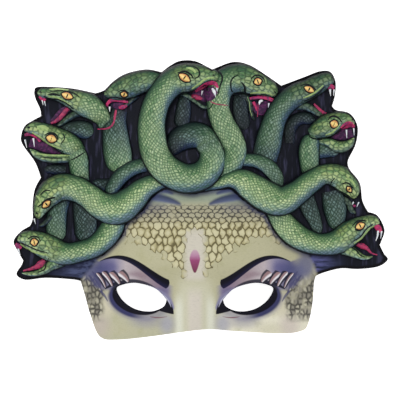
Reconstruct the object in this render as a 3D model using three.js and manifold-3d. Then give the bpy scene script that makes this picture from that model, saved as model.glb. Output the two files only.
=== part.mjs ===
// A costume half mask of moulded foam: a crown of snakes over a pale scaled brow.
// It lies face up: +Z is the side that is seen, +Y runs from the cheeks to the crown.
import * as THREE from "three";
import { mergeVertices } from "three/addons/utils/BufferGeometryUtils.js";
import Module from "manifold-3d";

const wasm = await Module();
wasm.setup();

// Driving sizes in millimetres
const sheetThickness = 4.5;
const blankWidth = 264;
const blankHeight = 198;
const blankColumns = 22;
const blankRows = 18;
const blankSpread = 0.45; // how much wider the blank's cells are at its edges than in its middle

const faceAxis = -3.4; // the middle line of the face
const vaultAxis = -1.7; // the middle line of the vault
const vaultHalfWidth = 81; // the vault's foot, where the flat wings begin
const vaultFullness = 2.3; // above 2 the vault is broader than a parabola
const crownFoot = 1.6; // how softly the vault runs out into the wings, and at the cheeks
const cheekFoot = 1.15;
const faceRise = 38;
const crownRise = 17;
const crownTop = 95;
const browLevel = -45;
const cheekLevel = -85;

const noseRise = 9;
const noseHalfWidth = 11;
const socketDepth = 5;
const socketReach = [19, 12];
const browRise = 3;
const browReach = [26, 8];
const browOverEye = 21;
const formOnset = 10; // the vault's height at which the face's forms are full

const eyeSpacing = 71; // from the middle of one eye opening to the other
const eyeLevel = -64.5;

const bodyRoot = 2.4; // how deep a body's foot sits in the sheet
const footPoints = 4; // stretches of a body's foot, which follow the sheet
const bodyMesh = { segments: 3, steps: 2 }; // half the flats round its back, and steps for each station
const jawMesh = { segments: 2, steps: 1 };
const behindMesh = { segments: 2, steps: 2 };
const rootShare = 0.25; // the share of a body over which it comes forward from what hides its root
const tipCap = 0.16; // the share of a body that rounds off at its tip
const tipEnd = 0.3; // the tip's size at its very end
const rootEnd = 0.35; // the root's height at its very end, where another body covers it

const eyeballMeridians = 6;
const eyeballParallels = 4;
const eyeballSeat = 1.7; // an eye's height in its head, in its own radii times the head's fullness

const punchSegments = 2; // stretches of a punch's edge for each point of its outline
const punchLength = 150; // a punch runs from well below the mask to well above it
const punchBelow = 40;
const joinDistance = 1e-4;

// The outline, one lobe for each head or stretch of edge, clockwise from the upper left.
// Each lobe is a smooth curve from a notch, through its points, to the next notch.
const outlineLobes = [
  [
    [-106.5, 56.3], [-107.3, 61.2], [-110.3, 67.9], [-111.1, 72.8], [-108.4, 75.9], [-92.7, 75.5],
    [-81.3, 74.1],
  ],
  [[-70, 71.5], [-64, 73.6], [-58, 79.3], [-49.5, 84.5], [-36, 87.2]],
  [[-25.6, 85.3], [-20, 89.6], [-12.9, 92.9], [-2.7, 92.5]],
  [[8.1, 86.9], [12, 88.7], [22, 92.1], [32.4, 90.4], [45.7, 82.4]],
  [[54.3, 76.5], [70.7, 82.8], [80, 86.3], [87.3, 86], [90.9, 79.3], [90.4, 69.7]],
  [[88.5, 63], [91.3, 60.3], [100, 58.2], [105.6, 49.7], [104.5, 37.8], [99.5, 27.3]],
  [[99.1, 23.4], [100.9, 19.5], [107.2, 11.3], [108.9, -0.5]],
  [[112.7, -8], [119.1, -10.5], [123.7, -19.7], [121.8, -27.1]],
  [
    [120.5, -30.1], [123.3, -35.8], [125.9, -40], [119.3, -44.7], [106, -46.3], [94, -45.9],
    [81.7, -49.1],
  ],
  [
    [77.5, -51.2], [76.4, -55.9], [75.3, -69.8], [72.1, -83.5], [67.8, -87.5], [54.7, -88.9],
    [22.3, -86.8], [2, -85.6], [-29.3, -90], [-54.7, -92.9], [-67, -91.1], [-73.5, -76.3],
    [-76.4, -66.2],
  ],
  [[-80, -54.3], [-85.7, -53.2], [-103.3, -52.2], [-117, -53.5], [-123.1, -49.8], [-119.7, -43.7]],
  [[-118.5, -40.6], [-122.1, -34.5], [-125, -27.7], [-120.4, -21.3]],
  [[-114, -17.3], [-112.2, -12.5], [-112.3, -3.3], [-110.8, 7.3]],
  [[-106.7, 15], [-110.7, 25.5], [-119.2, 37.6], [-119.8, 44], [-117.6, 49.3], [-113.3, 52.7]],
];

// One eye opening about its own middle, with its outer corner towards +X
const eyeOpening = [
  [-16.7, -2.3], [-9, 5.2], [3, 9.2], [12.5, 8], [16.5, 5], [11, -2], [2, -7.8], [-7, -9.2],
  [-14.5, -6.8],
];

// The snakes. A body is a route of stations [x, y, half width] from where it comes out to its snout,
// or only the head where a neck behind it is given.
// Fullness is its height over its half width, and lift sets it in front of what it crosses.
const snakes = {
  topLeft: {
    body: [
      [-64, 49, 4], [-65.5, 54.5, 6.2], [-70, 60, 8], [-77, 64, 8.8], [-85, 67.2, 7], [-93, 70, 5],
      [-100, 71, 4.2], [-107.5, 71, 3.6],
    ],
    jaw: [[-76, 59, 3.2], [-83, 57.8, 2.6], [-88.5, 54.6, 2.2], [-93, 51.3, 1.6], [-96, 49.3, 1]],
    eye: [-88.5, 70, 3],
    fullness: 0.85,
    lift: 1.5,
  },
  upperLeftSmall: {
    body: [
      [-25, 80.5, 5], [-33, 80, 7], [-42, 77.8, 8.2], [-50, 74.8, 8.6], [-57, 72.5, 6.6],
      [-62.8, 69.6, 3.6],
    ],
    jaw: [[-42, 70, 2.4], [-46, 66.5, 2], [-50, 63, 1.6], [-54, 60.5, 1]],
    eye: [-50.7, 70.3, 2.4],
    fullness: 0.8,
    lift: 0.5,
  },
  centre: {
    body: [
      [2.5, 41.5, 8.6], [8, 32.5, 9], [5.5, 20.5, 9.8], [-5, 14.5, 10.2], [-18, 17.5, 10.4],
      [-28, 27.5, 10.2], [-32, 42, 10], [-31, 58, 9.6], [-25.5, 70.5, 9.2], [-16, 78.8, 8.8],
      [-6, 81.8, 8.6], [2.5, 82.6, 5.2], [11.5, 82.2, 3],
    ],
    jaw: [[-14, 72, 2], [-8, 69, 1.5], [-2, 64.5, 1.4], [3.5, 61.6, 1.4], [7, 64, 0.9]],
    eye: [-10, 81.2, 3],
    fullness: 0.82,
    lift: 2.5,
  },
  upperRight: {
    body: [
      [10, 12, 5], [19, 21, 7.4], [23.5, 32, 8], [20.5, 42, 8.3], [14.5, 53, 8.2], [12, 64, 8.2],
      [16, 76, 8.8], [26, 80.8, 9.6], [36, 78.6, 9], [44.5, 74.8, 6.2], [51, 70.3, 3.2],
    ],
    jaw: [[27, 71, 2.4], [31.5, 68, 2], [33.6, 62, 1.6], [34.6, 56.5, 1.2], [36.5, 53, 0.8]],
    eye: [38.5, 79, 3],
    fullness: 0.75,
    lift: 1.2,
  },
  topRight: {
    body: [
      [43, 27, 9], [45.5, 37, 9.4], [47.5, 46, 8.7], [51, 56, 8], [58, 65.5, 8], [66, 70.8, 8.2],
      [73, 74, 7.2], [79.5, 77.8, 6.2], [87.5, 81.2, 4.2],
    ],
    jaw: [[62, 63, 3.4], [69, 63.2, 3], [75, 60.8, 2.6], [80, 57.5, 1.8], [83.5, 56, 1]],
    eye: [72.8, 74, 2.6],
    fullness: 0.8,
    lift: 1,
  },
  right: {
    neck: [[74, 17, 6], [73, 27, 7.2], [73.3, 36, 7.2], [76.5, 43, 6]],
    body: [[73.5, 43.5, 3.4], [78.5, 46.6, 6.2], [86, 50.2, 8], [94.5, 53.6, 5.8], [102.3, 51, 3.2]],
    jaw: [[78, 40, 2], [86, 38.6, 3], [93, 35.8, 3.9], [99, 37.2, 3.1], [103.3, 42, 1.6]],
    eye: [89.7, 51, 3],
    fullness: 0.8,
    lift: 2,
  },
  rightWave: {
    body: [
      [3, 9, 3.4], [12, 10.8, 3.8], [20, 13.4, 5.6], [27, 12.8, 8.4], [35, 8.2, 10], [44, 2.6, 10.8],
      [54, -0.5, 10.4], [64, 4.3, 8.8], [74, 12, 8], [84, 17.3, 7.2], [93, 15.6, 8.2], [100, 9, 7],
      [105, 1, 2.8],
    ],
    jaw: [[95, 2, 2], [99.5, -2, 2], [101.5, -7, 1.8], [104.5, -9, 1]],
    eye: [99.8, 7, 2.2],
    fullness: 0.78,
    lift: 2,
  },
  lowRight: {
    body: [
      [50, -6, 7], [56, -15.5, 8.2], [63, -22.5, 8.6], [72, -27.5, 8], [82, -29.6, 7.6],
      [92, -27.8, 8.6], [101, -21.5, 8.8], [110, -16.3, 6.4], [119.5, -14.3, 3],
    ],
    jaw: [[94, -31.5, 4], [100, -34.2, 3.4], [106, -37.3, 2.4], [112, -39.2, 1.5], [117.5, -38.2, 0.9]],
    eye: [107.3, -17.3, 3],
    fullness: 0.82,
    lift: 1.5,
  },
  left: {
    neck: [[-79, 12, 5.5], [-80.8, 20, 6.8], [-81.8, 28, 7.2], [-84.5, 34, 6.5]],
    body: [
      [-78.3, 32, 3.2], [-82.5, 34.6, 6.2], [-89, 38.2, 7.8], [-97, 42.3, 7], [-107, 46.8, 5.4],
      [-116.5, 48, 3.2],
    ],
    jaw: [[-84, 29, 3.6], [-92, 28, 3.3], [-100, 27.9, 3], [-107.5, 29.6, 2.7], [-113.8, 34, 1.6]],
    eye: [-99, 41.3, 3.1],
    fullness: 0.8,
    lift: 2,
  },
  leftWave: {
    body: [
      [-20, 13, 4], [-29, 11.5, 6], [-37.5, 7.4, 7.8], [-45.5, 0, 9.8], [-55, -5.8, 11.2],
      [-65, -4.2, 10], [-75, 3, 8.9], [-85, 8, 9.3], [-94.5, 8, 9.6], [-102, 2.2, 8.4],
      [-107, -6.5, 5.4], [-109, -13, 2.6],
    ],
    jaw: [[-97, -8, 1.8], [-101, -12.5, 1.8], [-104.5, -16, 1.6], [-108, -17.5, 1]],
    eye: [-102.5, -2.5, 3],
    fullness: 0.75,
    lift: 2,
  },
  lowLeft: {
    body: [
      [-54, -8, 6], [-59, -19, 8.2], [-69, -30, 7.6], [-80, -34.3, 7.3], [-91, -35.8, 8.1],
      [-101, -32, 9], [-110, -27.6, 7.4], [-121, -26.2, 3.6],
    ],
    jaw: [[-92, -40, 4], [-99, -43, 3.4], [-105, -47.4, 2.4], [-112, -49.6, 1.6], [-120, -49.2, 1]],
    eye: [-111, -28, 2.8],
    fullness: 0.82,
    lift: 1.5,
  },
};

// Bodies behind, seen in the gaps, with only a low relief
const bodiesBehind = [
  {
    body: [[6.5, 35, 8.8], [1.5, 42, 8.6], [-8, 44, 8.2], [-16, 39, 6.8], [-20, 31, 4.5]],
    fullness: 0.5,
    lift: 0,
  },
  {
    body: [[-54, 60, 6], [-56.5, 50, 8.4], [-56, 38, 9.8], [-54.5, 28, 10], [-53, 18, 8]],
    fullness: 0.35,
    lift: 0,
  },
  {
    body: [[-34, 24, 5], [-44, 21.5, 5.2], [-52, 16.5, 5.6], [-58, 9, 5], [-62, 3, 4]],
    fullness: 0.5,
    lift: 2,
  },
  { body: [[-52, 10, 4], [-62, 9.5, 5], [-72, 11.5, 3.4]], fullness: 0.4, lift: 0 },
  { body: [[-94, 46, 4], [-86, 47.5, 5.4], [-78, 47, 6.4], [-71.5, 45, 5]], fullness: 0.4, lift: 0 },
  { body: [[-92, 2, 6], [-95.5, -9, 7], [-96.5, -18, 7.4], [-95, -28, 6]], fullness: 0.45, lift: 0 },
  { body: [[-79, 2, 7], [-77.5, -8, 8], [-76.5, -17, 8.2], [-78, -28, 7]], fullness: 0.35, lift: 0 },
  { body: [[-10, 70, 4], [-11, 60, 5.4], [-12.5, 48, 5.6]], fullness: 0.4, lift: 0 },
  { body: [[27, 70, 5], [27, 59, 5.4], [30, 47, 4.6]], fullness: 0.4, lift: 0 },
  {
    body: [[24, 26, 4.5], [33, 26.6, 4.6], [41.5, 24.6, 5.2], [48.5, 19, 5.4], [54.5, 9, 4]],
    fullness: 0.5,
    lift: 2,
  },
  { body: [[60, 38, 3.5], [61, 49, 4.5], [67, 54.5, 4.6], [77, 53.5, 4]], fullness: 0.5, lift: 0 },
  { body: [[70, 4, 6], [73, -5, 6.2], [76.5, -13, 5], [80, -23, 3.5]], fullness: 0.45, lift: 0 },
  { body: [[88, 6, 7], [90, -3, 8.4], [91, -11, 7.4], [91, -20, 5]], fullness: 0.45, lift: 0 },
  { body: [[78, 33, 6], [86, 34, 6], [93, 32, 4]], fullness: 0.3, lift: 0 },
  { body: [[-90, 20, 3.5], [-98, 20.5, 3.6], [-104, 20.5, 2.6]], fullness: 0.4, lift: 0 },
];

// Forms of the moulded sheet

function vault(x, y) {
  const side = Math.min(1, Math.abs(x - vaultAxis) / vaultHalfWidth);
  const toCrown = THREE.MathUtils.smoothstep(y, browLevel, crownTop);
  const rise = THREE.MathUtils.lerp(faceRise, crownRise, toCrown);
  const toCheek = THREE.MathUtils.smoothstep(-y, -browLevel, -cheekLevel);
  const foot = THREE.MathUtils.lerp(crownFoot, cheekFoot, toCheek);
  return rise * Math.pow(1 - Math.pow(side, vaultFullness), foot);
}

function mound(dx, dy, [reachX, reachY]) {
  return Math.exp(-Math.pow(dx / reachX, 2) - Math.pow(dy / reachY, 2));
}

// The nose, brows and eye sockets, over the vault
function faceForm(x, y) {
  const across = x - faceAxis;
  const fromEye = Math.abs(across) - eyeSpacing / 2;
  const noseShare = THREE.MathUtils.smoothstep(-y, -browLevel, -cheekLevel);
  const nose = noseRise * noseShare * mound(across, 0, [noseHalfWidth, 1]);
  const socket = socketDepth * mound(fromEye, y - eyeLevel, socketReach);
  const brow = browRise * mound(fromEye, y - eyeLevel - browOverEye, browReach);
  return nose - socket + brow;
}

// The height of the sheet's back over the ground
function sheetBack(x, y) {
  const rise = vault(x, y);
  return rise + faceForm(x, y) * Math.min(1, rise / formOnset);
}

// Solids

function solidFrom(geometry) {
  const bare = geometry.clone();
  bare.deleteAttribute("normal");
  bare.deleteAttribute("uv");
  const merged = mergeVertices(bare, joinDistance);
  return new wasm.Manifold(
    new wasm.Mesh({
      numProp: 3,
      vertProperties: merged.attributes.position.array,
      triVerts: new Uint32Array(merged.index.array),
    }),
  );
}

function geometryFrom(solid) {
  const { vertProperties, triVerts } = solid.getMesh();
  const geometry = new THREE.BufferGeometry();
  geometry.setAttribute("position", new THREE.BufferAttribute(vertProperties, 3));
  geometry.setIndex(new THREE.BufferAttribute(triVerts, 1));
  return geometry;
}

function moveEach(geometry, place) {
  const points = geometry.attributes.position;
  const point = new THREE.Vector3();
  for (let i = 0; i < points.count; i++) {
    place(point.fromBufferAttribute(points, i));
    points.setXYZ(i, point.x, point.y, point.z);
  }
  return geometry;
}

const toVector2 = ([x, y]) => new THREE.Vector2(x, y);

// Draws the blank's rows and columns together towards its middle, where the form is fullest
function spread(at, half) {
  const share = at / half;
  return at * (1 - blankSpread + blankSpread * share * share);
}

// The foam blank, pressed over the form
function mouldedSheet() {
  const blank = new THREE.BoxGeometry(
    blankWidth, blankHeight, sheetThickness, blankColumns, blankRows, 1,
  );
  moveEach(blank, (p) => {
    p.x = spread(p.x, blankWidth / 2);
    p.y = spread(p.y, blankHeight / 2);
    p.z += sheetThickness / 2 + sheetBack(p.x, p.y);
  });
  return solidFrom(blank);
}

// A punch with straight walls, longer than the mask is high
function punch(shape) {
  const prism = new THREE.ExtrudeGeometry(shape, {
    depth: punchLength,
    curveSegments: punchSegments,
    bevelEnabled: false,
  });
  return solidFrom(prism.translate(0, 0, -punchBelow));
}

function outlinePunch() {
  const shape = new THREE.Shape();
  const first = outlineLobes[0][0];
  shape.moveTo(first[0], first[1]);
  outlineLobes.forEach((lobe, i) => {
    const nextNotch = outlineLobes[(i + 1) % outlineLobes.length][0];
    shape.splineThru([...lobe.slice(1), nextNotch].map(toVector2));
  });
  return punch(shape);
}

// side is 1 for the opening on +X and -1 for its mirror image
function eyePunch(side) {
  const centre = faceAxis + (side * eyeSpacing) / 2;
  const points = eyeOpening.map(([x, y]) => new THREE.Vector2(centre + side * x, eyeLevel + y));
  const shape = new THREE.Shape();
  shape.moveTo(points[0].x, points[0].y);
  shape.splineThru([...points.slice(1), points[0]]);
  return punch(shape);
}

// A half-round section of radius 1 with a foot below it
function bodySection() {
  const section = new THREE.Shape();
  section.moveTo(1, 0);
  section.absellipse(0, 0, 1, 1, 0, Math.PI);
  for (let i = 0; i <= footPoints; i++) {
    section.lineTo((2 * i) / footPoints - 1, -1);
  }
  return section;
}

// A body laid on the sheet: its section drawn along its route of stations
function laidBody(stations, { fullness, lift }, { segments, steps }) {
  const route = new THREE.CatmullRomCurve3(stations.map(([x, y, r]) => new THREE.Vector3(x, y, r)));
  const bar = new THREE.ExtrudeGeometry(bodySection(), {
    depth: 1,
    steps: steps * (stations.length - 1),
    curveSegments: segments,
    bevelEnabled: false,
  });
  moveEach(bar, (p) => {
    const at = route.getPoint(p.z);
    const along = route.getTangent(p.z).setZ(0).normalize();
    const past = Math.max(0, (p.z - 1 + tipCap) / tipCap);
    const tip = Math.max(tipEnd, Math.sqrt(1 - past * past));
    const across = p.x * at.z * tip;
    const out = THREE.MathUtils.smoothstep(p.z, 0, rootShare);
    const back = p.y * at.z * fullness * THREE.MathUtils.lerp(rootEnd, 1, out);
    const onFoot = Math.round(p.y) === -1;
    const height = onFoot ? -bodyRoot : (lift * out + back) * tip;
    const x = at.x - along.y * across;
    const y = at.y + along.x * across;
    p.set(x, y, sheetThickness + sheetBack(x, y) + height);
  });
  return solidFrom(bar);
}

// An eyeball, half sunk in the head
function eyeball([x, y, radius], { fullness, lift }) {
  const ball = new THREE.SphereGeometry(radius, eyeballMeridians, eyeballParallels);
  const seat = lift + fullness * radius * eyeballSeat;
  return solidFrom(ball.translate(x, y, sheetThickness + sheetBack(x, y) + seat));
}

function snakeSolids(snake) {
  const solids = [
    laidBody(snake.body, snake, bodyMesh),
    laidBody(snake.jaw, snake, jawMesh),
    eyeball(snake.eye, snake),
  ];
  if (snake.neck) {
    solids.push(laidBody(snake.neck, { fullness: snake.fullness, lift: 0 }, bodyMesh));
  }
  return solids;
}

function medusaMask() {
  const relief = [
    ...Object.values(snakes).flatMap(snakeSolids),
    ...bodiesBehind.map((behind) => laidBody(behind.body, behind, behindMesh)),
  ];
  let mask = relief.reduce((all, piece) => all.add(piece), mouldedSheet());
  mask = mask.intersect(outlinePunch());
  mask = mask.subtract(eyePunch(1)).subtract(eyePunch(-1));
  const geometry = geometryFrom(mask);
  geometry.computeBoundingBox();
  const middle = geometry.boundingBox.getCenter(new THREE.Vector3());
  geometry.translate(-middle.x, -middle.y, -geometry.boundingBox.min.z);
  return geometry;
}

const foam = new THREE.MeshStandardMaterial({ color: 0x5f8757, roughness: 0.7, metalness: 0 });
const medusa_mask = new THREE.Mesh(medusaMask(), foam);
medusa_mask.name = "medusa_mask";

const part = new THREE.Group();
part.add(medusa_mask);

export default part;
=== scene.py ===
"""A moulded foam half mask with a crown of snakes, lying face up on its wings."""
import math

import bpy
import numpy as np
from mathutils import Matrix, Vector
from mathutils.bvhtree import BVHTree


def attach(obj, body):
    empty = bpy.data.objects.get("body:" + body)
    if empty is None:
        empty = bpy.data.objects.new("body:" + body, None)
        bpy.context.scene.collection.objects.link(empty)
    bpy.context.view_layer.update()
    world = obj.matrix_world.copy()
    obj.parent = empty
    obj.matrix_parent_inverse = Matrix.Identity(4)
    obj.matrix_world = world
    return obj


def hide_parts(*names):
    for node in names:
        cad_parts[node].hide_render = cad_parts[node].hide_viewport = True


bl_info = {
    "name": "Snake crown half mask",
    "version": (1, 0, 0),
    "blender": (4, 5, 0),
    "location": "3D View > Sidebar > Half mask",
    "description": "Presses, lays, trims and prints a foam half mask with a crown of snakes",
    "category": "Object",
}

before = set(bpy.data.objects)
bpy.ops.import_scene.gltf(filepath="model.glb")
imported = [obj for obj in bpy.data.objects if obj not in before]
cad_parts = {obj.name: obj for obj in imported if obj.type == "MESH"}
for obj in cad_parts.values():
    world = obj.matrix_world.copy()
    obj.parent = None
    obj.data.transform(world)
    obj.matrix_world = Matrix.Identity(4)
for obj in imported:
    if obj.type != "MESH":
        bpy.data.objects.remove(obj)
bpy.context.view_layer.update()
NODE = "medusa_mask"

# Sizes of the moulded form, in metres, as the solid has them
MM = 0.001
FACE_AXIS = -0.0034
VAULT_AXIS = -0.0017
VAULT_HALF_WIDTH = 0.081
VAULT_FULLNESS = 2.3
CROWN_FOOT = 1.6
CHEEK_FOOT = 1.15
FACE_RISE = 0.038
CROWN_RISE = 0.017
CROWN_TOP = 0.095
BROW_LEVEL = -0.045
CHEEK_LEVEL = -0.085
NOSE_RISE = 0.0078
NOSE_HALF_WIDTH = 0.011
SOCKET_DEPTH = 0.005
SOCKET_REACH = (0.019, 0.012)
BROW_RISE = 0.003
BROW_REACH = (0.026, 0.008)
BROW_OVER_EYE = 0.021
FORM_ONSET = 0.010
EYE_SPACING = 0.071
EYE_LEVEL = -0.0645
BLANK_WIDTH = 0.264
BLANK_HEIGHT = 0.198

# The snakes' bodies: their root in metres, then shares of a length or a half width
BODY_ROOT = 0.0024
ROOT_SHARE = 0.25
ROOT_END = 0.35
TIP_CAP = 0.16
TIP_END = 0.3
SNOUT_ROUND = 1.2
NOD_FROM = 0.8
NOD_TO = 0.93

# The print on them: painted shade at a body's root and neck, its heads in millimetres, its scales' forms,
# and its painted light
START_SHADE_REACH = 0.15
START_SHADE = 0.6
HEAD_LENGTH = 34
HEAD_BLEND = 6
NECK_TONE = 0.7
PRINT_OFFSETS = 97
DASH_SQUEEZE = 0.45
SCALE_LEAN = 0.68
PRINT_LIGHT = (0.45, -0.9)

# The snakes' eyes: the lid past the ball, and the pupil, in millimetres, with its reach a share of the ball
LID_MARGIN = 0.9
LID_LONGER = 1.0
PUPIL_REACH = 0.7
PUPIL_HALF_WIDTH = 0.5
OVAL_WIDTHS = ((0, 0.25), (0.2, 0.75), (0.5, 1), (0.8, 0.75), (1, 0.25))

# How finely the pieces are drawn, and the punches that trim the mask
OUTLINE_TRIM = 0.9994
SECTION_FLATS = 16
RINGS_PER_STATION = 9
BEAD_FLATS = 10
BEAD_RINGS = 4
RING_STEPS = 6
PUNCH_BELOW = 0.04
PUNCH_LENGTH = 0.15
BACK_FACING = 0.1
SMOOTH_ANGLE = 38
MOST_TRIANGLES = 195000

# The print's maps reach this far from an edge, and short rays find the shadows in the gaps
MAP_SPAN = 20 * MM
CREVICE_REACH = 0.009
CREVICE_START = 0.0004
CREVICE_FACING = -0.2
CREVICE_TILTS = (28, 60)
CREVICE_SPOKES = 8

# The print is drawn in millimetres, with its eyes turned by some degrees
PRINT_UNITS = 1000
EYE_TURN = -12.4

# The bake map: the front, the back beside it, and the cut walls unrolled, in shares of the map
BAKE_EDGE = 0.005
BAKE_GAP = 0.012
BACK_FILL = 0.98
STRIP_GAP = 0.015
STRIP_TOP = 0.985
STRIP_LEFT = 0.345
STRIP_WIDE = 0.64
STRIP_FILL = 0.9
EYE_WALL_REACH = 25 * MM

# The stage
FLOOR_SIZE = 8
FLOOR_ROUGHNESS = 0.95
FLOOR_SHADES = ((0.93, 0.93, 0.93, 1), (0.95, 0.95, 0.95, 1))
FLOOR_GLOW = 0.85
WORLD_LIGHT = 0.6
WHITE = (1, 1, 1, 1)
LIGHTS = (("Key light", (-1.1, 1.3, 2.2), 1.6, 30), ("Fill light", (1.5, -0.6, 2.0), 2.0, 12))
CAMERA_HEIGHT = 3.0
FOCUS_LEVEL = 0.02
SENSOR_WIDTH = 36
PICTURE_WIDTH = 400 * 2 / 3 * MM

# The outline, one lobe for each head or stretch of edge, clockwise from the upper left, in millimetres
OUTLINE_LOBES = [
    [
        (-106.5, 56.3), (-107.3, 61.2), (-110.3, 67.9), (-111.1, 72.8), (-108.4, 75.9), (-92.7, 75.5),
        (-81.3, 74.1),
    ],
    [(-70, 71.5), (-64, 73.6), (-58, 79.3), (-49.5, 84.5), (-36, 87.2)],
    [(-25.6, 85.3), (-20, 89.6), (-12.9, 92.9), (-2.7, 92.5)],
    [(8.1, 86.9), (12, 88.7), (22, 92.1), (32.4, 90.4), (45.7, 82.4)],
    [(54.3, 76.5), (70.7, 82.8), (80, 86.3), (87.3, 86), (90.9, 79.3), (90.4, 69.7)],
    [(88.5, 63), (91.3, 60.3), (100, 58.2), (105.6, 49.7), (104.5, 37.8), (99.5, 27.3)],
    [(99.1, 23.4), (100.9, 19.5), (107.2, 11.3), (108.9, -0.5)],
    [(112.7, -8), (119.1, -10.5), (123.7, -19.7), (121.8, -27.1)],
    [
        (120.5, -30.1), (123.3, -35.8), (125.9, -40), (119.3, -44.7), (106, -46.3), (94, -45.9),
        (81.7, -49.1),
    ],
    [
        (77.5, -51.2), (76.4, -55.9), (75.3, -69.8), (72.1, -83.5), (67.8, -87.5), (54.7, -88.9),
        (22.3, -86.8), (2, -85.6), (-29.3, -90), (-54.7, -92.9), (-67, -91.1), (-73.5, -76.3),
        (-76.4, -66.2),
    ],
    [(-80, -54.3), (-85.7, -53.2), (-103.3, -52.2), (-117, -53.5), (-123.1, -49.8), (-119.7, -43.7)],
    [(-118.5, -40.6), (-122.1, -34.5), (-125, -27.7), (-120.4, -21.3)],
    [(-114, -17.3), (-112.2, -12.5), (-112.3, -3.3), (-110.8, 7.3)],
    [(-106.7, 15), (-110.7, 25.5), (-119.2, 37.6), (-119.8, 44), (-117.6, 49.3), (-113.3, 52.7)],
]

# One eye opening about its own middle, with its outer corner towards +X
EYE_OPENING = [
    (-16.8, -1.6), (-9.4, 5.7), (3, 9.3), (12.5, 8.1), (16.7, 5), (12.2, -2.8), (3.6, -8.2), (-6.6, -9.4),
    (-14.6, -6.3),
]

# Where the painted face ends under the snakes, as a ring of points in millimetres
FACE_EDGE = [
    (-80, -60), (-79, -52), (-72, -45), (-68, -38), (-66, -29), (-59, -19), (-54, -8), (-45, 0), (-37, 7),
    (-29, 11), (-18, 16), (-5, 14), (5, 15), (12, 11), (20, 13), (27, 12), (35, 8), (44, 2), (53, -2),
    (57, -15), (63, -22), (70, -27), (72, -36), (76, -43), (79, -52), (82, -60), (82, -98), (-80, -98),
]
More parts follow.
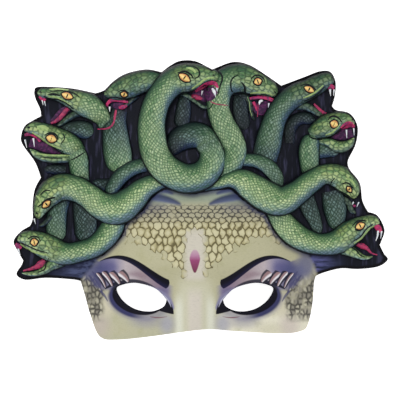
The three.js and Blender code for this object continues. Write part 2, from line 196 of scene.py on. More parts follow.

# The snakes: routes of stations (x, y, half width) in millimetres, from where each comes out to its snout.
# Fullness is a body's height over its half width, lift sets it in front of what it crosses,
# and nod lifts the head alone. Tones are painted shade: how far a body or jaw is darkened behind others.
SNAKES = {
    "top_left": {
        "body": [
            (-64, 49, 4), (-65.5, 54.5, 6.2), (-70, 60, 8), (-77, 64, 8.8), (-85, 67.2, 7), (-93, 70, 5),
            (-100.5, 71.4, 4), (-108.8, 71.9, 3.4),
        ],
        "jaw": [(-76, 59, 3.2), (-83, 57.8, 2.6), (-88.5, 54.6, 2.2), (-93, 51.3, 1.6), (-96, 49.3, 1)],
        "eye": [(-92.2, 71), (-85.4, 68.4), 2.1],
        "fullness": 0.85,
        "lift": 1.5,
        "tone": 0.85,
        "jaw_tone": 0.45,
    },
    "upper_left_small": {
        "body": [
            (-25, 80.5, 5), (-33, 80, 7), (-42, 77.8, 8.2), (-50, 74.8, 8.6), (-57.5, 72.6, 6.8),
            (-64, 70.8, 4.6),
        ],
        "jaw": [(-42, 70, 2.4), (-46, 66.5, 2), (-50, 63, 1.6), (-54, 60.5, 1)],
        "eye": [(-52.6, 70.8), (-48.6, 69.8), 1.6],
        "fullness": 0.8,
        "lift": 0.5,
        "tone": 0.68,
        "jaw_tone": 0.3,
    },
    "centre": {
        "body": [
            (2.5, 41.5, 8.6), (8, 32.5, 9), (5.5, 20.5, 9.8), (-5, 14.5, 10.2), (-18, 17.5, 10.4),
            (-28, 27.5, 10.2), (-32, 42, 10), (-31, 58, 9.6), (-25.5, 70.5, 9.4), (-16.4, 79.2, 9.7),
            (-6.5, 81.6, 9.8), (3, 82.6, 6.8), (10, 81.8, 4.6), (13.4, 80.8, 3.2),
        ],
        "jaw": [(-14, 72, 2), (-8, 69, 1.5), (-2, 64.5, 1.4), (3.5, 61.6, 1.4), (7, 64, 0.9)],
        "eye": [(-13.6, 83.4), (-7, 79), 2.2],
        "fullness": 0.82,
        "lift": 2.5,
        "nod": 3.5,
        "tone": 0.83,
        "jaw_tone": 0.45,
    },
    "upper_right": {
        "body": [
            (10, 12, 5), (19, 21, 7.4), (23.5, 32, 8), (20.5, 42, 8.3), (14.5, 53, 8.2), (12, 64, 8.2),
            (15.6, 76.6, 9.6), (26, 81, 10), (36, 78.8, 9.3), (44.5, 75, 6.7), (51.6, 70.6, 4.3),
        ],
        "jaw": [(27, 71, 2.4), (31.5, 68, 2), (33.6, 62, 1.6), (34.6, 56.5, 1.2), (36.5, 53, 0.8)],
        "eye": [(36.2, 78.1), (40.8, 79.6), 2.2],
        "fullness": 0.75,
        "lift": 1.2,
        "tone": 0.8,
        "jaw_tone": 0.22,
    },
    "top_right": {
        "body": [
            (43, 27, 9), (45.5, 37, 9.4), (47.5, 46, 8.7), (51, 56, 8), (58, 65.5, 8), (66, 70.8, 8),
            (73, 74, 7.2), (79.5, 77.6, 6.6), (86, 80.4, 5.2), (90.2, 80, 4),
        ],
        "jaw": [(62, 63, 3.4), (69, 63.2, 3), (75, 60.8, 2.6), (80, 57.5, 1.8), (83.5, 56, 1)],
        "eye": [(70, 75.4), (76, 72.6), 1.8],
        "fullness": 0.8,
        "lift": 1,
        "tone": 0.56,
        "jaw_tone": 0.45,
    },
    "right": {
        "neck": [(74, 17, 6), (73, 27, 7.2), (73.3, 36, 7.2), (76.5, 43, 6)],
        "body": [
            (73.5, 44.2, 4), (78.5, 46.6, 6.2), (86, 50.2, 8), (94.5, 53.8, 5.7), (100.4, 54, 3.9),
            (103.6, 51.2, 2.6),
        ],
        "jaw": [(78, 40, 2), (86, 38.6, 3), (93, 35.6, 4.1), (99, 37, 3.3), (103.3, 41.6, 1.7)],
        "eye": [(87.4, 51.8), (92, 49.8), 2.5],
        "fullness": 0.8,
        "lift": 2,
        "tone": 0.92,
        "jaw_tone": 0.9,
    },
    "right_wave": {
        "body": [
            (3, 9, 3.4), (12, 10.8, 3.8), (20, 13.4, 5.6), (27, 12.8, 8.4), (35, 8.2, 10), (44, 2.6, 10.8),
            (54, -0.5, 10.4), (64, 4.3, 8.8), (74, 12, 8), (84, 17.3, 7.2), (93, 15.5, 8.3), (100, 9.2, 7.4),
            (104.2, 1.4, 4.3),
        ],
        "jaw": [(95, 2, 2), (99.5, -2, 2), (101.5, -7, 1.8), (104.5, -9, 1)],
        "eye": [(98.5, 8.6), (101, 5.6), 1.3],
        "fullness": 0.78,
        "lift": 2,
        "tone": 1.0,
        "jaw_tone": 0.35,
    },
    "low_right": {
        "body": [
            (50, -6, 7), (56, -15.5, 8.2), (63, -22.5, 8.6), (72, -27.5, 8), (82, -29.6, 7.6),
            (92, -27.8, 8.6), (101, -21.7, 8.8), (108.8, -16.6, 6.5), (115, -14.2, 4.3), (120.4, -14.8, 3),
        ],
        "jaw": [
            (94, -31.5, 4.8), (100, -33.8, 4.1), (105, -36.4, 2.9), (110.5, -38.6, 1.7), (115.6, -38, 0.9),
        ],
        "eye": [(104.4, -18.6), (109.8, -16.1), 2.1],
        "fullness": 0.82,
        "lift": 1.5,
        "tone": 1.0,
        "jaw_tone": 0.92,
    },
    "left": {
        "neck": [(-79, 12, 5.5), (-80.8, 20, 6.8), (-81.8, 28, 7.2), (-84.5, 34, 6.5)],
        "body": [
            (-78.3, 32, 3.2), (-82.5, 34.6, 6.2), (-89, 38.2, 7.8), (-97, 42.3, 7), (-107, 47, 5.4),
            (-114, 48.4, 4), (-118.4, 47.4, 3),
        ],
        "jaw": [(-84, 29, 3.6), (-92, 28, 3.3), (-100, 27.9, 3), (-107.5, 29.6, 2.7), (-113.8, 34, 1.6)],
        "eye": [(-102.5, 42), (-96.2, 40), 2.5],
        "fullness": 0.8,
        "lift": 2,
        "tone": 0.95,
        "jaw_tone": 0.85,
    },
    "left_wave": {
        "body": [
            (-20, 13, 4), (-29, 11.5, 6), (-37.5, 7.4, 7.8), (-45.5, 0, 9.8), (-55, -5.8, 11.2),
            (-65, -4.2, 10), (-75, 3, 8.9), (-85, 8, 9.3), (-94.5, 8, 9.6), (-102, 2.2, 8.5),
            (-106.8, -6, 5.3), (-108.5, -12.4, 3.4),
        ],
        "jaw": [(-97, -8, 1.8), (-101, -12.5, 1.8), (-104.5, -16, 1.6), (-108, -17.5, 1)],
        "eye": [(-105, -4.8), (-100.4, -0.8), 1.8],
        "fullness": 0.75,
        "lift": 2,
        "tone": 1.0,
        "jaw_tone": 0.28,
    },
    "low_left": {
        "body": [
            (-54, -8, 6), (-59, -19, 8.2), (-69, -30, 7.6), (-80, -34.3, 7.3), (-91, -35.8, 8.1),
            (-101, -32, 9), (-110, -27.8, 7.7), (-117, -25.8, 5.3), (-122.2, -26.5, 3.4),
        ],
        "jaw": [
            (-92, -40, 4.8), (-99, -43, 4.2), (-104.7, -47.2, 2.7), (-112, -49.4, 1.7), (-119.4, -49, 1),
        ],
        "eye": [(-113, -28.6), (-108.6, -27.8), 2.3],
        "fullness": 0.82,
        "lift": 1.5,
        "tone": 0.95,
        "jaw_tone": 0.9,
    },
}

# Bodies behind, seen in the gaps: their tones of painted shade at both ends, fullness, lift and route
BODIES_BEHIND = [
    ((0.72, 0.0), 0.5, 0, [(6.5, 35, 8.8), (2, 41.6, 9), (-8, 42.6, 9.1), (-15.8, 37.6, 8), (-19, 30, 5)]),
    ((0.2, 0.82), 0.35, 0, [(-54, 60, 6), (-56.5, 50, 8.4), (-56, 38, 9.8), (-54.5, 28, 10), (-53, 18, 8)]),
    ((0.62, 0.42), 0.5, 2, [(-34, 24, 5), (-44, 21.5, 5.2), (-52, 16.5, 5.6), (-58, 9, 5), (-62, 3, 4)]),
    ((0.25, 0.2), 0.4, 0, [(-52, 10, 4), (-62, 9.5, 5), (-72, 11.5, 3.4)]),
    ((0.2, 0.42), 0.4, 0, [(-94, 46, 4), (-86, 47.5, 5.4), (-78, 47, 6.4), (-71.5, 45, 5)]),
    ((0.42, 0.6), 0.45, 0, [(-92, 2, 6), (-95.5, -9, 7), (-96.5, -18, 7.4), (-95, -28, 6)]),
    ((0.2, 0.3), 0.35, 0, [(-79, 2, 7), (-77.5, -8, 8), (-76.5, -17, 8.2), (-78, -28, 7)]),
    ((0.22, 0.12), 0.4, 0, [(-10, 70, 4), (-11, 60, 5.4), (-12.5, 48, 5.6)]),
    ((0.18, 0.06), 0.4, 0, [(27, 70, 5), (27, 59, 5.4), (30, 47, 4.6)]),
    (
        (0.66, 0.48), 0.5, 2,
        [(24, 26, 4.5), (33, 26.6, 4.6), (41.5, 24.6, 5.2), (48.5, 19, 5.4), (54.5, 9, 4)],
    ),
    ((0.04, 0.2), 0.5, 0, [(60, 38, 3.5), (61, 49, 4.5), (67, 54.5, 4.6), (77, 53.5, 4)]),
    ((0.24, 0.36), 0.45, 0, [(70, 4, 6), (73, -5, 6.2), (76.5, -13, 5), (80, -23, 3.5)]),
    ((0.32, 0.46), 0.45, 0, [(88, 6, 7), (90, -3, 8.4), (91, -11, 7.4), (91, -20, 5)]),
    ((0.52, 0.3), 0.3, 0, [(78, 33, 6), (86, 34, 6), (93, 32, 4)]),
    ((0.2, 0.1), 0.4, 0, [(-90, 20, 3.5), (-98, 20.5, 3.6), (-104, 20.5, 2.6)]),
]

# What is set in and on each head: finish, and stations (x, y, half width) in millimetres.
# A third value is the height over the sheet. A piece without one lies on the head.
HEAD_PIECES = {
    "top_left": [
        ("mouth", [(-99.4, 52.4, 1.4), (-95.4, 55.4, 2.6), (-91.6, 59, 2.8), (-87.6, 62, 1.8)], 0.8),
        ("tongue", [
            (-99.8, 51.4, 0.7), (-95.6, 53.4, 1.3), (-92, 57, 1.5), (-89.4, 60.4, 1.3), (-87, 61.4, 0.8),
        ], 1.5),
        ("gum", [(-107.6, 69.4, 0.9), (-105.6, 68.2, 1.6), (-103.6, 66.6, 1)], 2),
        ("fang", [(-105.7, 66.8, 0.45), (-105, 63.6, 0.15)], 2.2),
        ("fang", [(-104.2, 66.2, 0.45), (-103.4, 63, 0.15)], 2.2),
        ("line", [
            (-104.6, 69.6, 0.35), (-101, 67.9, 0.45), (-95, 67.2, 0.5), (-90, 65.2, 0.5),
            (-84.5, 60.8, 0.35),
        ]),
        ("line", [(-102, 70.4, 0.3), (-98, 70.8, 0.8), (-93.4, 69.8, 0.4)]),
        ("line", [(-100, 72.6, 0.3), (-92, 73.2, 0.5), (-85, 71.8, 0.5), (-80.6, 69, 0.3)]),
        ("pale", [(-101, 74, 0.3), (-95, 74.2, 0.6), (-88, 73.6, 0.4)]),
        ("pale", [(-102, 69, 0.3), (-97, 68.8, 0.5), (-92.5, 67.2, 0.5), (-87, 63.8, 0.3)]),
        ("line", [(-107.4, 72.4, 0.55), (-106, 71.9, 0.4)]),
    ],
    "upper_left_small": [
        ("mouth", [(-58, 63.4, 1.6), (-54, 62.8, 2.4), (-49, 62.6, 1.6)], 0.8),
        ("gum", [
            (-62.6, 61.8, 0.8), (-61.2, 65.2, 1.1), (-58, 66.8, 1.2), (-53, 66.5, 1.2), (-48, 65.2, 0.8),
        ], 2),
        ("gum", [(-54.2, 61.6, 0.8), (-51.6, 62, 1.4), (-48.8, 63.2, 0.8)], 1.6),
        ("fang", [(-60.4, 62.4, 0.7), (-60.3, 59, 0.2)], 2.4),
        ("tongue", [
            (-56, 60.6, 0.8), (-56.8, 56, 0.75), (-58, 51, 0.65), (-60.4, 48.4, 0.65), (-68.6, 47.4, 0.3),
        ]),
        ("line", [(-63.4, 72.8, 0.4), (-62.4, 72, 0.4)]),
        ("line", [(-54.4, 72.4, 0.3), (-51, 73.2, 0.5), (-47.4, 71.2, 0.4)]),
        ("line", [(-63.6, 67.6, 0.3), (-58, 68.6, 0.45), (-50, 67.4, 0.45), (-45, 68.4, 0.3)]),
    ],
    "centre": [
        ("mouth", [(-5, 71.4, 1.2), (0, 70, 3.4), (5.6, 70.4, 5), (10.4, 73.6, 2.6)]),
        ("gum", [(-3, 72.2, 0.8), (1.2, 75, 1.2), (5.6, 77.4, 1.3), (9.8, 77.4, 1.4), (11.8, 74.4, 0.9)]),
        ("tongue", [(-5.6, 69.4, 1), (-2.4, 68.6, 1.8), (1.4, 67.4, 1.2)]),
        ("fang", [(8, 74.2, 0.7), (9.4, 72, 1.2), (10.2, 68.4, 0.2)]),
        ("fang", [(11.3, 74.6, 0.6), (11.2, 70.6, 0.15)]),
        ("fang", [(1.6, 72.8, 0.7), (1, 69.8, 0.2)], 0.7),
        ("line", [
            (-10, 68.4, 0.3), (-3, 63.8, 0.4), (2.4, 60.4, 0.4), (6.6, 61, 0.35), (8.8, 64.4, 0.3),
        ]),
        ("tongue", [(7, 65.4, 0.35), (10, 64, 0.35), (15, 63.2, 0.35), (20, 63, 0.25)]),
        ("line", [
            (12.6, 79, 0.35), (7, 79.2, 0.5), (2, 77, 0.5), (-3, 73, 0.45), (-7, 71.4, 0.45),
            (-14, 71.4, 0.3),
        ]),
        ("line", [(-15, 84.4, 0.35), (-10.4, 85.4, 0.6), (-6, 83.2, 0.6), (-4.4, 80.6, 0.35)]),
        ("line", [
            (-3.6, 80.6, 0.3), (-0.6, 82.6, 0.5), (-0.8, 86, 0.5), (-4, 88.8, 0.45), (-9, 89.6, 0.3),
        ]),
        ("pale", [(-9, 87.8, 0.5), (-5.4, 87, 0.9), (-2.8, 84.6, 0.7)]),
        ("pale", [(11, 80.8, 0.3), (5, 80.8, 0.7), (-1, 76.8, 0.7), (-5.4, 73.8, 0.4)]),
        ("line", [(8.4, 83, 0.45), (9.8, 83, 0.45)]),
        ("line", [
            (10.4, 86, 0.35), (13.6, 84.4, 0.6), (14.8, 80.6, 0.6), (13.4, 76, 0.5), (11.8, 69.4, 0.35),
        ]),
    ],
    "upper_right": [
        ("mouth", [(35.6, 63, 2.4), (40, 61, 4.4), (45, 62.6, 3.8), (49.6, 65.6, 1.4)], 0.8),
        ("gum", [
            (33.2, 67.6, 0.8), (37, 68.2, 1.1), (42, 68.5, 1.2), (47, 67.2, 1.3), (51.2, 64.8, 0.9),
        ], 2.2),
        ("gum", [(35.4, 65.4, 1), (37, 62.6, 0.9), (37.8, 59.4, 0.4)], 1.4),
        ("fang", [(41.8, 66.4, 0.6), (40, 65.6, 0.9), (39.5, 63.4, 0.2)], 2.8),
        ("fang", [(46, 64.6, 0.6), (45.5, 61.2, 0.15)], 2.8),
        ("pale", [(31.6, 68.6, 0.15), (32.9, 65, 0.2), (33.4, 60, 0.2), (34.6, 56, 0.15)]),
        ("tongue", [(38.9, 64, 0.35), (38.6, 60, 0.35), (38.3, 55.4, 0.25)], 1.5),
        ("line", [
            (27.6, 68.4, 0.35), (22.4, 70.8, 0.5), (20.4, 76, 0.5), (21.8, 81, 0.5), (25.4, 83, 0.3),
        ]),
        ("line", [(27.6, 78.4, 0.4), (29.8, 75, 0.8), (30, 71.4, 0.8), (32.4, 69.2, 0.4)]),
        ("line", [(33, 69.8, 0.35), (38, 69.8, 0.45), (44, 70, 0.45), (50, 67.4, 0.35)]),
        ("line", [(33.8, 80.4, 0.3), (36.6, 82.8, 0.55), (41.4, 82, 0.55), (43.4, 78.6, 0.3)]),
        ("line", [(49.6, 72.4, 0.4), (50.6, 71.4, 0.4)]),
        ("pale", [(50, 69.2, 0.4), (44, 71.4, 0.6), (37.6, 71.4, 0.6), (33.4, 71, 0.4)]),
    ],
    "top_right": [
        ("gum", [(84, 75.6, 1.2), (87, 76, 2), (90, 75, 1.1)], 2),
        ("fang", [(87, 74.2, 0.8), (87.5, 69.6, 0.15)], 2.4),
        ("fang", [(89.8, 74, 0.5), (89.4, 69.8, 0.15)], 2.4),
        ("tongue", [(76.4, 64.4, 0.6), (78.8, 61.6, 1.1), (82.2, 58.7, 1.1), (86, 57.2, 0.6)], 1.2),
        ("line", [(83.4, 75.8, 0.4), (80, 72.2, 0.5), (75.6, 68.6, 0.45), (69.6, 66, 0.35)]),
        ("line", [(66.8, 76, 0.3), (70.6, 77.4, 0.5), (75.4, 75.6, 0.5), (78, 73, 0.35)]),
        ("pale", [(82.6, 76.8, 0.4), (78.4, 73, 0.6), (74, 70.2, 0.6), (69, 68.2, 0.4)]),
        ("line", [(88.8, 82.6, 0.4), (88, 81.6, 0.4)]),
    ],
    "right": [
        ("mouth", [(88, 42.2, 1), (92.6, 43.4, 3), (97.4, 44, 3.6), (102, 45, 2.6)], 0.8),
        ("gum", [(94.6, 47.6, 1.2), (97.6, 49.8, 2), (101, 50.6, 1.9), (103.4, 48.6, 1)]),
        ("fang", [(98, 47, 0.6), (98.3, 41.4, 0.15)], 2.5),
        ("fang", [(102.9, 48, 0.5), (103.2, 43.4, 0.15)], 2.5),
        ("line", [(94.8, 48.8, 0.4), (91.6, 45.4, 0.55), (87.8, 42.6, 0.55), (82, 41.2, 0.4)]),
        ("pale", [(94, 50.8, 0.4), (91, 47.6, 0.6), (88, 45, 0.6), (84, 43.4, 0.4)]),
        ("line", [(85.4, 53.2, 0.3), (87.8, 55.8, 0.6), (92.4, 55, 0.6), (94.8, 52, 0.35)]),
        ("line", [(72.4, 46.4, 0.3), (73.2, 42.8, 0.5), (77.6, 40.8, 0.5), (82, 40.4, 0.35)]),
        ("line", [(102.4, 54.4, 0.4), (101.6, 53.4, 0.4)]),
    ],
    "right_wave": [
        ("gum", [(101.4, -3.4, 0.8), (104.2, -4.2, 0.8)], 1.6),
        ("fang", [(102.8, -1.2, 0.5), (101.2, -4.8, 0.15)], 2.4),
        ("fang", [(106.4, -1.4, 0.5), (105, -4.6, 0.15)], 2.4),
        ("line", [(90, 14.8, 0.3), (87.4, 10.4, 0.45), (88.2, 6.6, 0.35)]),
        ("line", [(94, 5.8, 0.35), (99, 3, 0.5), (102.6, 0.4, 0.35)]),
        ("line", [(94.6, 10.6, 0.3), (98.4, 11.4, 0.6), (102.6, 7.8, 0.4)]),
        ("pale", [(97.4, 14.6, 0.4), (101.6, 12.6, 0.8), (104, 8.4, 0.4)]),
        ("line", [(105.4, 2.6, 0.4), (104.8, 1.6, 0.4)]),
    ],
    "low_right": [
        ("gum", [(117.2, -16.8, 1.4), (119.4, -18.8, 2), (121.2, -21.4, 1)], 2),
        ("fang", [(119.3, -20.6, 0.7), (118.8, -24.2, 0.55), (117.7, -27.4, 0.2)], 2.4),
        ("fang", [(121.6, -20.8, 0.6), (121, -25.8, 0.15)], 2.4),
        ("tongue", [
            (105, -29.6, 1.1), (108.6, -30.8, 1.9), (112, -32.6, 1.2), (114.6, -35.4, 0.6),
            (118.8, -36.8, 0.35),
        ], 1.4),
        ("pale", [(117, -17.2, 0.5), (112.6, -20, 0.7), (108.8, -25, 0.7), (103, -29, 0.4)]),
        ("line", [(115.6, -16.2, 0.35), (111.4, -19.2, 0.45), (107.6, -24.2, 0.45), (102, -27.8, 0.3)]),
        ("line", [(102, -17.2, 0.3), (106, -13.9, 0.6), (111.4, -14, 0.4)]),
        ("line", [(103.4, -19.8, 0.3), (106.6, -20.6, 0.4), (110.6, -17.2, 0.3)]),
        ("line", [(101, -31.4, 0.3), (104.4, -33.6, 0.45), (107.2, -36.8, 0.45), (110.6, -38.4, 0.3)]),
        ("line", [(119.6, -13.4, 0.4), (120.4, -14.2, 0.4)]),
    ],
    "left": [
        ("mouth", [(-114, 38.6, 3), (-107, 36.4, 3.2), (-99, 33.4, 2.4), (-93, 31.6, 1)], 0.8),
        ("gum", [(-117.4, 43.4, 0.8), (-113, 44.4, 1.5), (-109, 42.2, 1.5), (-107, 39.2, 0.9)], 1.8),
        ("fang", [(-117.2, 40.4, 0.6), (-116, 35, 0.15)], 2.2),
        ("fang", [(-111.6, 41.4, 0.7), (-110.9, 35.6, 0.15)], 2.2),
        ("pale", [(-109, 48.4, 1.2), (-105, 48.2, 1.9), (-101.4, 47.2, 1.2)]),
        ("pale", [(-112.5, 45.3, 0.4), (-107.4, 42.2, 0.6), (-101.5, 37.7, 0.6), (-93, 34.2, 0.4)]),
        ("line", [(-113, 44.4, 0.35), (-106.6, 40.4, 0.5), (-100.6, 36.3, 0.5), (-91.5, 32.4, 0.35)]),
        ("line", [(-115.4, 48.8, 0.7), (-113.8, 48.2, 0.6)]),
        ("line", [(-93, 37.6, 0.3), (-90.6, 41, 0.4), (-91.6, 44.6, 0.3)]),
        ("line", [(-104, 43.2, 0.3), (-100.8, 44.8, 0.6), (-96.4, 43.8, 0.55), (-94.6, 40.4, 0.35)]),
        ("pale", [(-109, 31, 0.4), (-102, 30.1, 0.6), (-92, 29.8, 0.6), (-87, 30, 0.3)]),
        ("line", [(-107, 28.8, 0.25), (-99, 28, 0.4), (-90, 28, 0.3)]),
        ("line", [(-87.6, 26.2, 0.3), (-82.4, 28.6, 0.5), (-77, 32, 0.4)]),
    ],
    "left_wave": [
        ("fang", [(-111.1, -12.4, 0.5), (-110.2, -16, 0.15)], 2),
        ("line", [(-109.8, -8.4, 0.7), (-108.6, -9.4, 0.6)]),
        ("line", [(-106.6, -12.6, 0.35), (-103.4, -9.2, 0.5), (-98, -4.8, 0.35)]),
        ("line", [(-108.2, -4.6, 0.35), (-105, -1.8, 0.8), (-100.6, 0.8, 0.8), (-96.6, 1.8, 0.4)]),
        ("line", [(-107, 3, 0.3), (-103.6, 6.2, 0.5), (-100, 6.4, 0.35)]),
        ("pale", [(-109.6, 3, 0.4), (-107, 0.4, 0.8), (-106.4, -2.6, 0.5)]),
    ],
    "low_left": [
        ("gum", [(-123.6, -29.4, 1), (-121.8, -30.8, 1.7), (-119.6, -32.2, 0.9)], 2),
        ("fang", [(-121.8, -32.6, 0.7), (-120.3, -37, 0.15)], 2.4),
        ("tongue", [
            (-104, -40.4, 1.6), (-106.6, -43, 2.5), (-110.5, -45.2, 1.4), (-118.4, -47.4, 0.5),
        ], 1.4),
        ("pale", [(-120.6, -29.4, 0.5), (-115.5, -32.4, 0.7), (-109.6, -35.2, 0.7), (-102, -36.8, 0.4)]),
        ("line", [(-120.4, -23.8, 0.6), (-119.2, -24.4, 0.5)]),
        ("line", [(-119.6, -28.6, 0.35), (-114, -31.2, 0.45), (-108, -33.8, 0.45), (-102, -35.2, 0.3)]),
        ("line", [(-115.4, -26.4, 0.3), (-112.6, -24.6, 0.5), (-108.4, -25, 0.45), (-106.6, -27.6, 0.3)]),
        ("line", [(-101, -38.6, 0.3), (-103, -42.6, 0.45), (-104, -46.2, 0.45), (-108.6, -48.4, 0.3)]),
    ],
}
# How high the back of each piece is, over its half width
PIECE_RISE = {"mouth": 0.15, "gum": 0.5, "tongue": 0.6, "fang": 0.8, "line": 0.3, "pale": 0.4}
# How deep a piece is rooted, over its half width, and at most, so none comes out of the back
PIECE_ROOT = 1.2
ROOT_DEPTH = 0.0028


class MaskSizes(bpy.types.PropertyGroup):
    """Sizes of the pressed sheet and its printed scales"""

    thickness: bpy.props.FloatProperty(
        name="Sheet thickness", description="Thickness of the foam sheet", default=0.0045, unit="LENGTH"
    )
    cell: bpy.props.FloatProperty(
        name="Sheet cell", description="Size of the sheet's mesh cells", default=0.0024, unit="LENGTH"
    )
    skin_scale: bpy.props.FloatProperty(
        name="Snake scale", description="Length of one printed scale of a snake",
        default=0.0026, unit="LENGTH"
    )
    brow_scale: bpy.props.FloatProperty(
        name="Brow scale", description="Width of one printed scale of the brow",
        default=0.0043, unit="LENGTH"
    )


class MaskColours(bpy.types.PropertyGroup):
    """Colours of the print"""

    leaf: bpy.props.FloatVectorProperty(
        name="Leaf green", description="Main green of the snakes",
        subtype="COLOR", default=(0.092, 0.195, 0.08)
    )
    lime: bpy.props.FloatVectorProperty(
        name="Pale green", description="Lit green of the snakes",
        subtype="COLOR", default=(0.38, 0.5, 0.24)
    )
    # The blue of the snakes' lower sides is painted shade
    blue_shade: bpy.props.FloatVectorProperty(
        name="Dusk blue", description="Blue of the snakes' lower sides",
        subtype="COLOR", default=(0.115, 0.17, 0.26)
    )
    cream: bpy.props.FloatVectorProperty(
        name="Cream", description="Ground of the face print",
        subtype="COLOR", default=(0.475, 0.455, 0.3)
    )


def paint(red, green, blue):
    """A colour of the print, from its display values of 0 to 255"""
    shares = (c / 255 for c in (red, green, blue))
    linear = [c / 12.92 if c <= 0.04045 else ((c + 0.055) / 1.055) ** 2.4 for c in shares]
    return (*linear, 1.0)


# Forms of the moulded sheet

def smoothstep(value, low, high):
    share = np.clip((value - low) / (high - low), 0, 1)
    return share * share * (3 - 2 * share)


def mound(dx, dy, reach):
    return np.exp(-((dx / reach[0]) ** 2) - (dy / reach[1]) ** 2)


def vault(x, y):
    side = np.minimum(1, np.abs(x - VAULT_AXIS) / VAULT_HALF_WIDTH)
    to_crown = smoothstep(y, BROW_LEVEL, CROWN_TOP)
    rise = FACE_RISE + (CROWN_RISE - FACE_RISE) * to_crown
    to_cheek = smoothstep(-y, -BROW_LEVEL, -CHEEK_LEVEL)
    foot = CROWN_FOOT + (CHEEK_FOOT - CROWN_FOOT) * to_cheek
    return rise * (1 - side ** VAULT_FULLNESS) ** foot


def face_form(x, y):
    """The nose, brows and eye sockets, over the vault"""
    across = x - FACE_AXIS
    from_eye = np.abs(across) - EYE_SPACING / 2
    nose_share = smoothstep(-y, -BROW_LEVEL, -CHEEK_LEVEL)
    nose = NOSE_RISE * nose_share * mound(across, 0, (NOSE_HALF_WIDTH, 1))
    socket = SOCKET_DEPTH * mound(from_eye, y - EYE_LEVEL, SOCKET_REACH)
    brow = BROW_RISE * mound(from_eye, y - EYE_LEVEL - BROW_OVER_EYE, BROW_REACH)
    return nose - socket + brow


def sheet_back(x, y):
    """The height of the sheet's back over the ground"""
    rise = vault(x, y)
    return rise + face_form(x, y) * np.minimum(1, rise / FORM_ONSET)


# Hand tools

def pick(item):
    """Makes one object the only selected and active one"""
    bpy.ops.object.select_all(action="DESELECT")
    item.select_set(True)
    bpy.context.view_layer.objects.active = item
    return item


def in_edit_mode(item, *steps):
    pick(item)
    bpy.ops.object.mode_set(mode="EDIT")
    bpy.ops.mesh.select_all(action="SELECT")
    for step in steps:
        step()
    bpy.ops.object.mode_set(mode="OBJECT")


def face_outwards():
    bpy.ops.mesh.select_all(action="SELECT")
    bpy.ops.mesh.normals_make_consistent(inside=False)


def close_ends():
    bpy.ops.mesh.fill_holes(sides=0)


def places(item):
    """A mesh's vertices as an array"""
    flat = np.empty(3 * len(item.data.vertices))
    item.data.vertices.foreach_get("co", flat)
    return flat.reshape(-1, 3)


def move_to(item, points):
    item.data.vertices.foreach_set("co", np.asarray(points, dtype=float).ravel())
    item.data.update()


def corner_vertices(mesh):
    corners = np.empty(len(mesh.loops), dtype=int)
    mesh.loops.foreach_get("vertex_index", corners)
    return corners


def lay_map(item, name, values):
    """Writes a UV map from one pair of values for each vertex"""
    layer = item.data.uv_layers.get(name) or item.data.uv_layers.new(name=name)
    pairs = np.asarray(values, dtype=float).reshape(-1, 2)
    layer.data.foreach_set("uv", pairs[corner_vertices(item.data)].ravel())


def combine(item, operation, others):
    """Joins or cuts an object with others, which are used up"""
    basket = bpy.data.collections.new("Basket")
    bpy.context.scene.collection.children.link(basket)
    for other in others:
        basket.objects.link(other)
    pick(item)
    step = item.modifiers.new("Combine", "BOOLEAN")
    step.operation = operation
    step.solver = "MANIFOLD"
    step.operand_type = "COLLECTION"
    step.collection = basket
    step.material_mode = "TRANSFER"
    bpy.ops.object.modifier_apply(modifier=step.name)
    for other in others:
        bpy.data.objects.remove(other)
    bpy.data.collections.remove(basket)
    if not len(item.data.polygons):
        raise RuntimeError(f"{item.name} was lost when it was combined")


def dress(item, finish):
    item.data.materials.clear()
    item.data.materials.append(finish)


# Nodes

FLOAT = "NodeSocketFloat"
VECTOR = "NodeSocketVector"
COLOUR = "NodeSocketColor"


